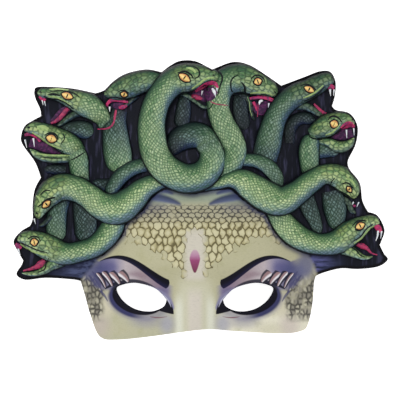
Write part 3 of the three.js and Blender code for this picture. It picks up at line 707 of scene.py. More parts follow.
class Bench:
    """Makes the nodes of one tree and joins them as it goes"""

    def __init__(self, tree):
        self.tree = tree

    def give(self, socket, value):
        if isinstance(value, bpy.types.NodeSocket):
            self.tree.links.new(value, socket)
        elif value is not None:
            socket.default_value = value

    def node(self, kind, inputs=(), **settings):
        made = self.tree.nodes.new("ShaderNode" + kind)
        for name, value in settings.items():
            setattr(made, name, value)
        for name, value in dict(inputs).items():
            self.give(made.inputs[name], value)
        return made

    def math(self, operation, a, b=None, c=None, clamp=False):
        made = self.node("Math", operation=operation, use_clamp=clamp)
        for socket, value in zip(made.inputs, (a, b, c)):
            self.give(socket, value)
        return made.outputs[0]

    def minus(self, a, b):
        return self.math("SUBTRACT", a, b)

    def vector(self, operation, a, b=None):
        made = self.node("VectorMath", operation=operation)
        for socket, value in zip(made.inputs, (a, b)):
            self.give(socket, value)
        return made.outputs["Value" if operation in ("LENGTH", "DOT_PRODUCT") else "Vector"]

    def step(self, value, low, high, to_low=0.0, to_high=1.0):
        """A smooth step from one value to the other"""
        made = self.node("MapRange", interpolation_type="SMOOTHSTEP")
        for socket, given in zip(made.inputs, (value, low, high, to_low, to_high)):
            self.give(socket, given)
        return made.outputs[0]

    def curve(self, value, points, span):
        """A smooth curve through points, both ways within a span"""
        made = self.node("FloatCurve", {"Value": self.math("DIVIDE", value, span)})
        line = made.mapping.curves[0]
        for x, y in points[1:-1]:
            line.points.new(x / span, y / span)
        for point, (x, y) in ((line.points[0], points[0]), (line.points[-1], points[-1])):
            point.location = (x / span, y / span)
        made.mapping.update()
        return self.math("MULTIPLY", made.outputs[0], span)

    def ramp(self, value, stops):
        """A colour that runs through stops of place and colour"""
        made = self.node("ValToRGB", {"Fac": value})
        row = made.color_ramp.elements
        row[0].position, row[0].color = stops[0]
        row[1].position, row[1].color = stops[-1]
        for place, shade in stops[1:-1]:
            row.new(place).color = shade
        return made.outputs[0]

    def split(self, vector):
        return self.node("SeparateXYZ", {"Vector": vector}).outputs

    def join(self, x, y, z=0.0):
        return self.node("CombineXYZ", {"X": x, "Y": y, "Z": z}).outputs[0]

    def mix(self, share, a, b, blend="MIX"):
        made = self.node("Mix", data_type="RGBA", blend_type=blend, clamp_factor=True)
        for index, value in ((0, share), (6, a), (7, b)):
            self.give(made.inputs[index], value)
        return made.outputs[2]

    def choose(self, share, a, b, kind="FLOAT"):
        """One number or vector where the share is 0 and the other where it is 1"""
        first, out = (2, 0) if kind == "FLOAT" else (4, 1)
        made = self.node("Mix", data_type=kind)
        for index, value in ((0, share), (first, a), (first + 1, b)):
            self.give(made.inputs[index], value)
        return made.outputs[out]

    def lay(self, colour, share, mask, shade):
        """Lays a shade over a colour, in part, where a mask is 1"""
        return self.mix(self.math("MULTIPLY", mask, share), colour, shade)

    def noise(self, vector, scale, detail=2.0, rough=0.5):
        settings = {"Vector": vector, "Scale": scale, "Detail": detail, "Roughness": rough}
        return self.node("TexNoise", settings).outputs["Fac"]

    def map(self, name):
        return self.node("UVMap", uv_map=name).outputs[0]

    def group(self, tree, **inputs):
        made = self.tree.nodes.new("ShaderNodeGroup")
        made.node_tree = tree
        for name, value in inputs.items():
            self.give(made.inputs[name], value)
        return made.outputs

    def both(self, *masks):
        """The product of masks"""
        product, *others = masks
        for mask in others:
            product = self.math("MULTIPLY", product, mask)
        return product


def node_group(name, inputs, outputs):
    """An empty shader node group with its named sockets"""
    tree = bpy.data.node_groups.new(name, "ShaderNodeTree")
    for label, kind, default in inputs:
        socket = tree.interface.new_socket(name=label, in_out="INPUT", socket_type=kind)
        socket.default_value = default
    for label, kind in outputs:
        tree.interface.new_socket(name=label, in_out="OUTPUT", socket_type=kind)
    entry = tree.nodes.new("NodeGroupInput").outputs
    leave = tree.nodes.new("NodeGroupOutput").inputs
    return tree, Bench(tree), entry, leave


def skin_cells():
    """Uneven scales: their net, a chance value for each and their rise"""
    tree, bench, given, out = node_group(
        "Skin cells",
        [("Place", VECTOR, (0, 0, 0)), ("Cell", VECTOR, (2.6, 1.8, 1)), ("Ink", FLOAT, 0.2)],
        [("Net", FLOAT), ("Chance", FLOAT), ("Rise", FLOAT)],
    )
    at = bench.vector("DIVIDE", given["Place"], given["Cell"])
    settings = {"Vector": at, "Scale": 1.0, "Randomness": 0.7}
    cells = bench.node("TexVoronoi", settings, voronoi_dimensions="2D", feature="F1")
    rims = bench.node("TexVoronoi", settings, voronoi_dimensions="2D", feature="DISTANCE_TO_EDGE")
    inside = rims.outputs["Distance"]
    bench.give(out["Net"], bench.step(inside, 0.02, given["Ink"], 1.0, 0.0))
    bench.give(out["Chance"], bench.split(cells.outputs["Color"])[0])
    bench.give(out["Rise"], bench.step(inside, 0.0, 0.35))
    return tree


def round_scales():
    """Staggered scales: how far inside its scale a point is, a chance value and the middle of each"""
    tree, bench, given, out = node_group(
        "Round scales",
        [("Place", VECTOR, (0, 0, 0)), ("Cell", VECTOR, (4.3, 8.8, 1)), ("Wander", FLOAT, 1.6)],
        [("Inset", FLOAT), ("Chance", FLOAT), ("Middle", VECTOR)],
    )
    drift = bench.node("TexNoise", {"Vector": given["Place"], "Scale": 0.2, "Detail": 1.0}).outputs["Color"]
    centred = bench.vector("SUBTRACT", drift, (0.5, 0.5, 0.5))
    wander = bench.vector("MULTIPLY", centred, bench.join(given["Wander"], given["Wander"]))
    cells = bench.vector("DIVIDE", bench.vector("ADD", given["Place"], wander), given["Cell"])
    found = []
    for offset in ((0, 0, 0), (0.5, 0.5, 0)):
        moved = bench.vector("ADD", cells, offset)
        share = bench.vector("SUBTRACT", bench.vector("FRACTION", moved), (0.5, 0.5, 0.5))
        local = bench.vector("MULTIPLY", bench.vector("MULTIPLY", share, given["Cell"]), (1, 1, 0))
        away = bench.vector("LENGTH", bench.vector("MULTIPLY", local, (1, SCALE_LEAN, 0)))
        own = bench.vector("ADD", bench.vector("FLOOR", moved), (31 * offset[0], 0, 0))
        found.append((away, own, local))
    first, second = found
    nearer = bench.math("LESS_THAN", second[0], first[0])
    cell = bench.choose(nearer, first[1], second[1], "VECTOR")
    local = bench.choose(nearer, first[2], second[2], "VECTOR")
    chance = bench.node("TexWhiteNoise", {"Vector": cell}, noise_dimensions="3D")
    half = bench.vector("MULTIPLY", given["Cell"], (0.5, 0.5 * SCALE_LEAN, 0))
    near = bench.vector("ABSOLUTE", bench.vector("MULTIPLY", local, (1, SCALE_LEAN, 0)))
    reach = bench.vector("LENGTH", half)
    towards = bench.math("DIVIDE", bench.vector("DOT_PRODUCT", near, half), reach)
    slope = bench.minus(bench.both(reach, 0.5), towards)
    side = bench.minus(bench.split(half)[0], bench.split(near)[0])
    bench.give(out["Inset"], bench.math("SMOOTH_MIN", side, slope, 0.8))
    bench.give(out["Chance"], chance.outputs["Value"])
    bench.give(out["Middle"], bench.vector("SUBTRACT", given["Place"], local))
    return tree


def brush_stroke():
    """One bent brush stroke in the plane, with how far across it a point is"""
    tree, bench, given, out = node_group(
        "Brush stroke",
        [
            ("Place", VECTOR, (0, 0, 0)), ("From", VECTOR, (0, 0, 0)), ("To", VECTOR, (1, 0, 0)),
            ("Bend", FLOAT, 0.0), ("Skew", FLOAT, 1.0), ("Width", FLOAT, 1.0), ("Onset", FLOAT, 0.5),
            ("Tail", FLOAT, 0.5), ("Soft", FLOAT, 0.3),
        ],
        [("Mask", FLOAT), ("Across", FLOAT)],
    )
    run = bench.vector("SUBTRACT", given["To"], given["From"])
    here = bench.vector("SUBTRACT", given["Place"], given["From"])
    reach = bench.vector("LENGTH", run)
    unit = bench.vector("NORMALIZE", run)
    sides = bench.split(unit)
    left = bench.join(bench.both(sides[1], -1.0), sides[0])
    along = bench.math("DIVIDE", bench.vector("DOT_PRODUCT", here, unit), reach)
    share = bench.math("MINIMUM", bench.math("MAXIMUM", along, 0.0), 1.0)
    skewed = bench.math("POWER", share, given["Skew"])
    hump = bench.both(skewed, bench.minus(1.0, skewed), 4.0, given["Bend"])
    across = bench.minus(bench.vector("DOT_PRODUCT", here, left), hump)
    taper = bench.math("POWER", bench.minus(1.0, share), given["Tail"])
    swell = bench.math("POWER", bench.math("DIVIDE", share, given["Onset"], clamp=True), 0.6)
    half = bench.both(given["Width"], taper, swell)
    inside = bench.minus(half, bench.math("ABSOLUTE", across))
    soft = given["Soft"]
    side_mask = bench.step(inside, bench.both(soft, -0.5), bench.both(soft, 0.5))
    end_soft = bench.math("DIVIDE", soft, reach)
    start_mask = bench.step(along, 0.0, end_soft)
    end_mask = bench.step(bench.minus(1.0, along), 0.0, end_soft)
    bench.give(out["Mask"], bench.both(side_mask, start_mask, end_mask))
    bench.give(out["Across"], bench.math("DIVIDE", across, given["Width"]))
    return tree


def soft_patch():
    """A soft oval patch in the plane"""
    tree, bench, given, out = node_group(
        "Soft patch",
        [
            ("Place", VECTOR, (0, 0, 0)), ("Centre", VECTOR, (0, 0, 0)), ("Reach", VECTOR, (1, 1, 1)),
            ("Core", FLOAT, 0.2),
        ],
        [("Mask", FLOAT)],
    )
    away = bench.vector("DIVIDE", bench.vector("SUBTRACT", given["Place"], given["Centre"]), given["Reach"])
    flat = bench.vector("MULTIPLY", away, (1, 1, 0))
    bench.give(out["Mask"], bench.step(bench.vector("LENGTH", flat), given["Core"], 1.0, 1.0, 0.0))
    return tree


def coloured_pencil():
    """Fine hand-drawn streaks that lighten and darken a colour"""
    tree, bench, given, out = node_group(
        "Coloured pencil",
        [("Colour", COLOUR, (0.5, 0.5, 0.5, 1)), ("Place", VECTOR, (0, 0, 0)), ("Strength", FLOAT, 0.5)],
        [("Colour", COLOUR)],
    )
    fine = bench.noise(bench.vector("MULTIPLY", given["Place"], (0.35, 1.4, 1.0)), 1.3, 3.0, 0.65)
    dark = bench.mix(bench.step(fine, 0.5, 0.25), given["Colour"], (0.3, 0.32, 0.36, 1), "MULTIPLY")
    lit = bench.mix(bench.step(fine, 0.55, 0.8), dark, (1.0, 0.98, 0.9, 1), "SOFT_LIGHT")
    bench.give(out["Colour"], bench.mix(given["Strength"], given["Colour"], lit))
    return tree


def foam_grain():
    """The fine closed-cell grain of foam"""
    tree, bench, given, out = node_group(
        "Foam grain",
        [("Place", VECTOR, (0, 0, 0)), ("Pitch", FLOAT, 1.0)],
        [("Rise", FLOAT), ("Tint", FLOAT)],
    )
    cells = bench.node("TexVoronoi", {"Vector": given["Place"], "Scale": given["Pitch"]})
    bench.give(out["Rise"], bench.step(cells.outputs["Distance"], 0.0, 0.7))
    bench.give(out["Tint"], bench.noise(given["Place"], 0.15, 3.0))
    return tree


class Kit:
    """The shared node groups of the finishes"""

    def __init__(self, shift):
        self.shift = shift
        self.cells = skin_cells()
        self.scales = round_scales()
        self.stroke = brush_stroke()
        self.patch = soft_patch()
        self.pencil = coloured_pencil()
        self.grain = foam_grain()

    def start(self, name, roughness, specular=0.15):
        """A new finish: its material, bench, surface shader and place in the print's millimetres"""
        material = bpy.data.materials.new(name)
        material.use_nodes = True
        bench = Bench(material.node_tree)
        surface = material.node_tree.nodes["Principled BSDF"]
        surface.inputs["Roughness"].default_value = roughness
        surface.inputs["Specular IOR Level"].default_value = specular
        scaled = bench.vector("MULTIPLY", bench.node("TexCoord").outputs["Object"], (PRINT_UNITS,) * 3)
        place = bench.vector("SUBTRACT", scaled, (*(PRINT_UNITS * self.shift), 0))
        return material, bench, surface, place

    def finish(self, bench, surface, colour, rise, distance, strength):
        """Gives the surface its colour and its fine relief"""
        bench.give(surface.inputs["Base Color"], colour)
        relief = bench.node("Bump", {"Height": rise, "Strength": strength, "Distance": distance})
        bench.give(surface.inputs["Normal"], relief.outputs[0])

    def patches(self, bench, colour, place, core, rows, within=None):
        """Lays soft oval patches over a colour, each with its centre, reach, shade and share"""
        for centre, reach, shade, share in rows:
            form = {"Place": place, "Centre": (*centre, 0), "Reach": (*reach, 1), "Core": core}
            mask = bench.group(self.patch, **form)["Mask"]
            if within is not None:
                mask = bench.both(mask, within)
            colour = bench.lay(colour, share, mask, paint(*shade))
        return colour

    def gap_shade(self, bench, low, high, most):
        """How much painted shade the surface takes, from how deep in a gap it is"""
        closed = bench.node("Attribute", attribute_name="Crevice").outputs["Fac"]
        return bench.step(closed, low, high, 0.0, most)


def tone_tint(bench, tone):
    """What the print of a body is multiplied by, from the deepest shadow to full light"""
    return bench.ramp(tone, (
        (0.0, (0.06, 0.055, 0.13, 1)), (0.2, (0.13, 0.13, 0.27, 1)), (0.45, (0.3, 0.34, 0.52, 1)),
        (0.7, (0.6, 0.68, 0.78, 1)), (1.0, (1, 1, 1, 1)),
    ))


def body_dashes(kit, bench, colour, skin, lit, on_body, cell):
    """Short light dashes in staggered rows along a body, with dark between them; they show only on the lit
    band, as painted highlights
    """
    squeezed = bench.vector("MULTIPLY", skin, (DASH_SQUEEZE, 1, 1))
    rows = bench.group(kit.scales, Place=squeezed, Cell=(cell * 0.54, cell * 0.95, 1), Wander=2.2)
    gap = bench.step(rows["Inset"], 0.28, 0.08)
    colour = bench.lay(colour, 0.55, bench.both(gap, on_body), paint(44, 74, 52))
    strength = bench.step(rows["Chance"], 0.15, 0.95)
    dash = bench.both(lit, on_body, bench.step(rows["Inset"], 0.04, 0.32), strength)
    return bench.lay(colour, 0.72, dash, paint(212, 226, 172)), rows["Inset"], dash


def head_plates(kit, bench, colour, skin, lit, on_head, cell):
    """Larger uneven plates on a head, some lime where painted light falls and some dark, with ink between
    them
    """
    plates = bench.group(kit.cells, Place=skin, Cell=(cell * 1.35, cell * 1.1, 1), Ink=0.26)
    light = bench.both(on_head, lit, bench.step(plates["Chance"], 0.45, 0.8), plates["Rise"])
    colour = bench.lay(colour, 0.62, light, paint(190, 204, 140))
    dark = bench.both(on_head, bench.step(plates["Chance"], 0.4, 0.1))
    colour = bench.lay(colour, 0.5, dark, paint(56, 88, 62))
    return bench.lay(colour, 0.6, bench.both(on_head, plates["Net"]), paint(32, 52, 40)), plates["Rise"]


def snake_skin(kit, colours, sizes):
    """Green scaled print of the snakes with black outlines, and painted light on it: shaded edges, a lit
    back and blue painted shade on the lower side
    """
    material, bench, surface, _ = kit.start("Snake skin", 0.48, 0.12)
    skin = bench.map("Skin")
    shade, edge, _ = bench.split(bench.map("Form"))
    tone, head, _ = bench.split(bench.map("Tone"))
    rim = bench.node("Attribute", attribute_name="Rim").outputs["Fac"]
    on_body = bench.minus(1.0, head)
    cell = sizes.skin_scale / MM
    drawn = bench.vector("MULTIPLY", skin, (0.5, 1.4, 1))
    patches = bench.noise(drawn, 0.2, 2.0)
    streaks = bench.noise(drawn, 1.0, 3.0, 0.65)

    leaf, lime, blue_shade = ((*shade_of, 1) for shade_of in (colours.leaf, colours.lime, colours.blue_shade))
    # Painted light across each body: dark on the upper side, lit along the back, blue painted shade on the
    # lower side
    colour = bench.ramp(shade, (
        (0.0, paint(36, 60, 48)), (0.12, paint(54, 88, 62)), (0.26, leaf), (0.4, paint(108, 148, 94)),
        (0.56, paint(168, 194, 146)), (0.66, paint(156, 186, 160)), (0.75, paint(120, 148, 156)),
        (0.86, blue_shade), (1.0, paint(56, 74, 104)),
    ))
    # The lit band along the back, with pale painted highlights in patches
    lit = bench.both(
        bench.step(shade, 0.16, 0.48), bench.step(shade, 0.82, 0.66), bench.step(edge, 0.92, 0.6)
    )
    colour = bench.lay(colour, 0.5, bench.both(lit, bench.step(patches, 0.42, 0.62)), lime)
    colour = bench.lay(colour, 0.4, bench.both(head, bench.step(patches, 0.35, 0.6)), paint(150, 164, 88))
    # Painted highlight: pale blue strokes within the painted shade of the lower side
    low_side = bench.both(bench.step(shade, 0.72, 0.84), bench.step(streaks, 0.45, 0.7))
    colour = bench.lay(colour, 0.5, low_side, paint(136, 164, 180))
    mottle = bench.noise(skin, 0.3, 3.0, 0.6)
    colour = bench.lay(colour, 0.5, bench.step(mottle, 0.5, 0.34), paint(62, 112, 70))
    colour, inset, dash = body_dashes(kit, bench, colour, skin, lit, on_body, cell)
    colour, plate_rise = head_plates(kit, bench, colour, skin, lit, head, cell)
    colour = bench.lay(colour, 0.45, bench.step(streaks, 0.46, 0.3), paint(40, 66, 56))
    # Pale painted highlight streaks on the lit band
    colour = bench.lay(colour, 0.45, bench.both(lit, bench.step(streaks, 0.53, 0.7)), paint(200, 214, 184))

    # Painted shade along the upper edges
    upper_side_shade = bench.both(bench.step(edge, 0.55, 0.9), bench.step(shade, 0.62, 0.4))
    colour = bench.lay(colour, 0.55, upper_side_shade, paint(26, 44, 40))
    # Painted shade: bodies and jaws darken by their tone, and faint painted glints stay on the dashes of
    # darker ones
    colour = bench.mix(1.0, colour, tone_tint(bench, tone), "MULTIPLY")
    glint = bench.both(dash, bench.step(tone, 0.75, 0.4), bench.step(tone, 0.05, 0.3))
    colour = bench.lay(colour, 0.4, glint, paint(112, 150, 148))
    colour = bench.lay(colour, 1.0, bench.step(edge, 0.84, 0.95), paint(10, 14, 20))
    colour = bench.lay(colour, 1.0, bench.step(rim, 1.7, 1.0), paint(10, 12, 16))
    # Painted shade in the gaps between the pieces
    colour = bench.lay(colour, 1.0, kit.gap_shade(bench, 0.35, 0.8, 0.8), paint(14, 18, 30))
    rise = bench.choose(head, bench.step(inset, 0.0, 0.6), plate_rise)
    kit.finish(bench, surface, colour, rise, 0.0003, 0.5)
    return material


def face_ground(kit, bench, colours, half, across, signed, y, mid):
    """The bare skin of the forehead, nose and cheeks, with painted light on the right cheek and beside the
    nose, and painted shade beside the nose and under the eye
    """
    cheek = bench.step(y, -68, -80)
    lit_cheek = bench.mix(bench.step(signed, 8, 26), paint(184, 182, 156), paint(222, 218, 198))
    colour = bench.mix(cheek, (*colours.cream, 1), lit_cheek)
    colour = bench.lay(colour, 0.35, bench.step(mid, 0.5, 0.72), paint(170, 168, 128))
    between = bench.both(bench.step(across, 15, 7), bench.step(y, -46, -60))
    colour = bench.lay(colour, 0.9, between, paint(200, 198, 174))
    bridge = bench.both(bench.step(across, 7, 2), bench.step(y, -54, -66))
    colour = bench.lay(colour, 0.8, bridge, paint(208, 200, 190))
    lit_side = bench.both(bench.step(across, 6, 10), bench.step(across, 15, 11), bench.step(y, -58, -72))
    colour = bench.lay(colour, 0.75, lit_side, paint(220, 221, 206))
    strip = bench.both(bench.step(across, 9, 4), bench.step(y, -14, -24), bench.step(y, -56, -50))
    colour = bench.lay(colour, 0.85, strip, paint(208, 202, 190))
    # The two grey-blue patches are painted shade beside the nose and under the eye
    return kit.patches(bench, colour, half, 0.15, (
        ((18.5, -82), (8, 11), (160, 160, 178), 0.7), ((32, -81), (17, 6), (150, 148, 158), 0.6),
        ((63, -84), (11, 14), (190, 176, 172), 0.6), ((50, -86), (14, 7), (190, 186, 156), 0.4),
        ((58, -70), (7, 12), (206, 200, 178), 0.8),
    ))


def brow_scales(kit, bench, sizes, colour, signed, y, mid):
    """Long staggered scales over the forehead, smaller towards the crown and darker there in the painted
    shade of the snakes
    """
    wide = sizes.brow_scale / MM
    crowding = bench.math("MAXIMUM", bench.math("ADD", y, 20.0), 0.0)
    closer = bench.both(bench.both(crowding, crowding), 0.045)
    flat = bench.join(signed, bench.math("ADD", y, closer))
    scales = bench.group(kit.scales, Place=flat, Cell=(wide * 1.04, wide * 2.5, 1), Wander=5.0)
    crowded_in_shade = bench.step(y, -19, -9)
    fill = bench.mix(bench.step(scales["Chance"], 0.1, 0.9), paint(200, 194, 156), paint(178, 170, 128))
    fill = bench.lay(fill, 0.7, bench.step(scales["Inset"], 0.5, 1.7), paint(208, 203, 170))
    fill = bench.lay(fill, 0.6, crowded_in_shade, paint(140, 138, 124))
    line = bench.mix(crowded_in_shade, paint(92, 84, 56), paint(58, 57, 58))
    broken = bench.step(mid, 0.28, 0.4, 0.55, 1.0)
    fill = bench.lay(fill, 0.9, bench.both(bench.step(scales["Inset"], 0.62, 0.2), broken), line)

    middle_x, middle_y, _ = bench.split(scales["Middle"])
    off_axis = bench.math("ABSOLUTE", middle_x)
    edge_points = (
        (0, 53), (5, 50), (10, 47.5), (15, 41), (20, 36.5), (26, 33), (31, 30), (38, 26), (46, 25), (58, 31),
    )
    over_edge = bench.math("ADD", middle_y, bench.curve(off_axis, edge_points, 60))
    ragged = bench.both(bench.minus(mid, 0.5), 8.0)
    inside = bench.both(
        bench.step(bench.minus(over_edge, ragged), -0.8, 0.8), bench.step(off_axis, 58, 55)
    )
    strip_half = bench.step(middle_y, -15, -26, 0.0, 6.8)
    off_strip = bench.step(bench.minus(off_axis, strip_half), -0.5, 0.8)
    below_crown = bench.step(y, -1.5, -5.0)
    return bench.mix(bench.both(inside, off_strip, below_crown), colour, fill)


def temple_scales(kit, bench, colour, across, y, mid):
    """Grey broken scales at the temples"""
    scales = bench.group(kit.cells, Place=bench.join(across, y), Cell=(2.8, 3.8, 1), Ink=0.42)
    edge = bench.math("ADD", across, bench.both(bench.minus(mid, 0.5), 8.0))
    zone = bench.both(bench.step(edge, 59, 64), bench.step(y, -83, -76), bench.step(y, -46, -53))
    colour = bench.lay(colour, 0.7, zone, paint(158, 154, 138))
    fill = bench.mix(bench.step(scales["Chance"], 0.2, 0.9), paint(134, 130, 122), paint(204, 200, 178))
    colour = bench.lay(colour, 0.7, bench.both(zone, scales["Rise"]), fill)
    broken = bench.step(mid, 0.38, 0.54)
    return bench.lay(colour, 0.85, bench.both(zone, scales["Net"], broken), paint(44, 42, 46))


def lid_paint(kit, bench, colour, half, across, above, brow):
    """The lid between the brow and the opening: blue at both ends and pale rose in the middle"""
    shade = bench.ramp(bench.math("DIVIDE", across, 70.0), (
        (0.2, paint(122, 120, 156)), (0.34, paint(136, 116, 140)), (0.5, paint(164, 148, 156)),
        (0.66, paint(184, 172, 178)), (0.77, paint(128, 124, 158)), (0.9, paint(86, 86, 130)),
    ))
    under = bench.step(brow["Across"], 0.3, -0.2)
    lid = bench.both(under, above, bench.step(across, 13, 19), bench.step(across, 74, 62))
    colour = bench.lay(colour, 0.94, lid, shade)
    return kit.patches(bench, colour, half, 0.2, (
        ((38, -50), (10, 4), (134, 108, 122), 0.5), ((44, -52.4), (10, 3.4), (204, 194, 198), 0.6),
        ((57, -45), (8, 6), (84, 82, 130), 0.7), ((23, -60.5), (8, 4), (92, 92, 132), 0.6),
    ), under)


def lash_paint(bench, colour, stroke):
    """Pale pointed lashes with dark outlines, and thin flicks beyond them"""
    for tip, root, width in (
        ((51, -48.2), (44.2, -54.6), 2.1), ((57.2, -48.4), (50, -56), 1.9), ((62, -47.8), (55, -57.6), 1.3),
        ((66, -48.6), (59.6, -58.8), 0.8),
    ):
        outer = stroke(tip, root, Bend=-0.8, Width=width + 1.6, Onset=0.12, Tail=0.3, Soft=0.6)
        inner = stroke(tip, root, Bend=-0.8, Width=width, Onset=0.16, Tail=0.36, Soft=0.5)
        petal = bench.mix(bench.step(inner["Across"], -0.2, 0.5), paint(150, 122, 124), paint(230, 226, 230))
        colour = bench.lay(colour, 0.9, outer["Mask"], paint(30, 29, 44))
        colour = bench.mix(inner["Mask"], colour, petal)
    for start, end in (
        ((69, -47.4), (62.6, -57.6)), ((67, -53), (61.6, -62.4)), ((71.4, -50), (65.4, -59.6)),
        ((64, -60), (58, -68)),
    ):
        flick = stroke(start, end, Bend=-0.6, Width=1.1, Onset=0.4, Tail=0.5, Soft=0.7)
        colour = bench.lay(colour, 0.8, flick["Mask"], paint(74, 74, 108))
    return colour


def eye_paint(kit, bench, colour, half, across):
    """The lid, the lashes and the dark rim of the eye openings, alike on both sides"""
    offset = bench.vector("SUBTRACT", half, (EYE_SPACING / 2 / MM, EYE_LEVEL / MM, 0))
    turn = {"Vector": offset, "Angle": math.radians(EYE_TURN)}
    by_eye = bench.node("VectorRotate", turn, rotation_type="Z_AXIS").outputs[0]
    eye_x, eye_y, _ = bench.split(by_eye)

    def oval(centre, halves):
        away = bench.vector("SUBTRACT", by_eye, (*centre, 0))
        return bench.vector("LENGTH", bench.vector("DIVIDE", away, (*halves, 1)))

    def stroke(start, end, **form):
        return bench.group(kit.stroke, Place=half, From=(*start, 0), To=(*end, 0), **form)

    ink = paint(18, 17, 28)
    brow = stroke(
        (16.8, -56.3), (64, -41.2), Bend=7.6, Skew=1.67, Width=3.2, Onset=0.03, Tail=0.65, Soft=0.5
    )
    colour = lid_paint(kit, bench, colour, half, across, bench.step(eye_y, -2, 2), brow)
    colour = kit.patches(bench, colour, half, 0.3, (
        ((66, -48), (12, 8), (78, 80, 122), 0.85), ((60, -56), (7, 6), (120, 116, 140), 0.85),
        ((74, -44), (9, 12), (104, 106, 138), 0.85),
    ))

    haze = bench.both(bench.step(oval((2, -3), (24, 15)), 1.0, 0.75), bench.step(eye_y, 1, -5))
    colour = bench.lay(colour, 0.6, haze, paint(120, 118, 146))
    low_side = bench.both(bench.step(eye_y, 6, 0), bench.step(eye_x, -8, 5))
    navy = bench.both(bench.step(oval((3.2, -2.4), (19.3, 12.4)), 1.04, 0.91), low_side)
    colour = bench.lay(colour, 0.95, navy, paint(46, 48, 92))
    upper = bench.both(bench.step(oval((3.4, 0.5), (17.2, 10.4)), 1.03, 0.95), bench.step(eye_y, -1, 1))
    colour = bench.lay(colour, 0.95, upper, paint(44, 44, 58))
    rim = bench.both(bench.step(oval((2.0, -1.2), (17.6, 10.7)), 1.03, 0.97), bench.step(eye_y, 7.0, 5.6))
    colour = bench.lay(colour, 1.0, rim, ink)
    for start, end, bend, width, onset, tail, soft, shade in (
        ((13.6, -73.4), (34, -56.4), 3.4, 3.0, 0.3, 0.9, 1.8, paint(132, 130, 160)),
        ((14.0, -75.0), (38, -55.4), 4.2, 1.5, 0.15, 0.8, 0.5, ink),
        ((23.0, -68.8), (13.8, -75.6), 0.0, 5.0, 0.05, 0.85, 0.5, ink),
        ((15.6, -71.2), (24.5, -61.0), 1.6, 0.5, 0.3, 0.3, 0.5, paint(176, 176, 196)),
        ((30, -77.2), (18, -77.0), 0.8, 0.5, 0.4, 0.6, 0.5, paint(120, 84, 92)),
        ((60.5, -59.6), (43, -54.6), -1.6, 1.8, 0.5, 0.7, 0.6, paint(38, 38, 52)),
    ):
        line = stroke(start, end, Bend=bend, Width=width, Onset=onset, Tail=tail, Soft=soft)
        colour = bench.mix(line["Mask"], colour, shade)
    colour = lash_paint(bench, colour, stroke)
    edge_tint = bench.mix(bench.step(brow["Across"], 0.3, -0.9), ink, paint(32, 30, 60))
    return bench.mix(brow["Mask"], colour, edge_tint)


def forehead_marks(kit, bench, colour, half, across, y):
    """The lozenge between the brows, and the shadows and leaves under the crown"""
    lozenge = bench.group(
        kit.stroke, Place=half, From=(0, -32.5, 0), To=(0, -48.5, 0),
        Width=4.9, Onset=0.42, Tail=0.62, Soft=0.7,
    )
    drop = bench.ramp(bench.math("DIVIDE", y, -50.0), (
        (0.66, paint(196, 170, 180)), (0.74, paint(180, 130, 160)), (0.8, paint(150, 75, 115)),
        (0.96, paint(112, 58, 76)),
    ))
    colour = bench.mix(lozenge["Mask"], colour, drop)
    # Blue painted shade on the forehead's top corners, under the snakes
    blue_shade = bench.both(bench.step(y, -12, -3), bench.step(across, 12, 26))
    colour = bench.lay(colour, 0.45, blue_shade, paint(86, 88, 112))
    top_band = bench.both(bench.step(y, -5, 1), bench.step(across, 46, 38))
    colour = bench.lay(colour, 0.7, top_band, paint(132, 150, 138))
    for start, end, bend, width in (
        ((8, -3.5, 0), (37, 2, 0), 2.0, 3.6), ((13, 3.5, 0), (31, 8, 0), 1.0, 2.4),
    ):
        form = {"From": start, "To": end, "Bend": bend, "Width": width}
        leaf = bench.group(kit.stroke, Place=half, Onset=0.6, Tail=0.4, Soft=2.4, **form)
        tint = bench.mix(bench.step(leaf["Across"], -0.9, 0.5), paint(88, 98, 140), paint(38, 48, 84))
        colour = bench.lay(colour, 0.9, leaf["Mask"], tint)
    return colour


def crown_ground(bench, place, across, signed, y, mid, edge_mm):
    """The dark ground behind the snakes, bluer between the lower ones, with a black edge"""
    streaks = bench.noise(bench.vector("MULTIPLY", place, (1.0, 0.16, 1)), 0.4, 2.0)
    ground = bench.lay(paint(22, 24, 33), 0.75, bench.step(streaks, 0.5, 0.74), paint(62, 62, 86))
    low_ground = bench.both(
        bench.step(y, -35, -41), bench.step(across, 104, 90), bench.step(mid, 0.2, 0.6, 0.6, 1.0)
    )
    inner = bench.mix(bench.step(signed, -10, 10), paint(78, 86, 120), paint(100, 102, 158))
    near_face = bench.mix(bench.step(across, 78, 98), inner, paint(50, 56, 80))
    level = bench.noise(bench.vector("MULTIPLY", place, (0.2, 1.0, 1)), 0.5, 3.0)
    low = bench.mix(bench.step(level, 0.35, 0.65), paint(44, 48, 74), near_face)
    ground = bench.lay(ground, 1.0, low_ground, low)
    return bench.lay(ground, 1.0, bench.step(edge_mm, 2.6, 1.4), paint(13, 13, 18))


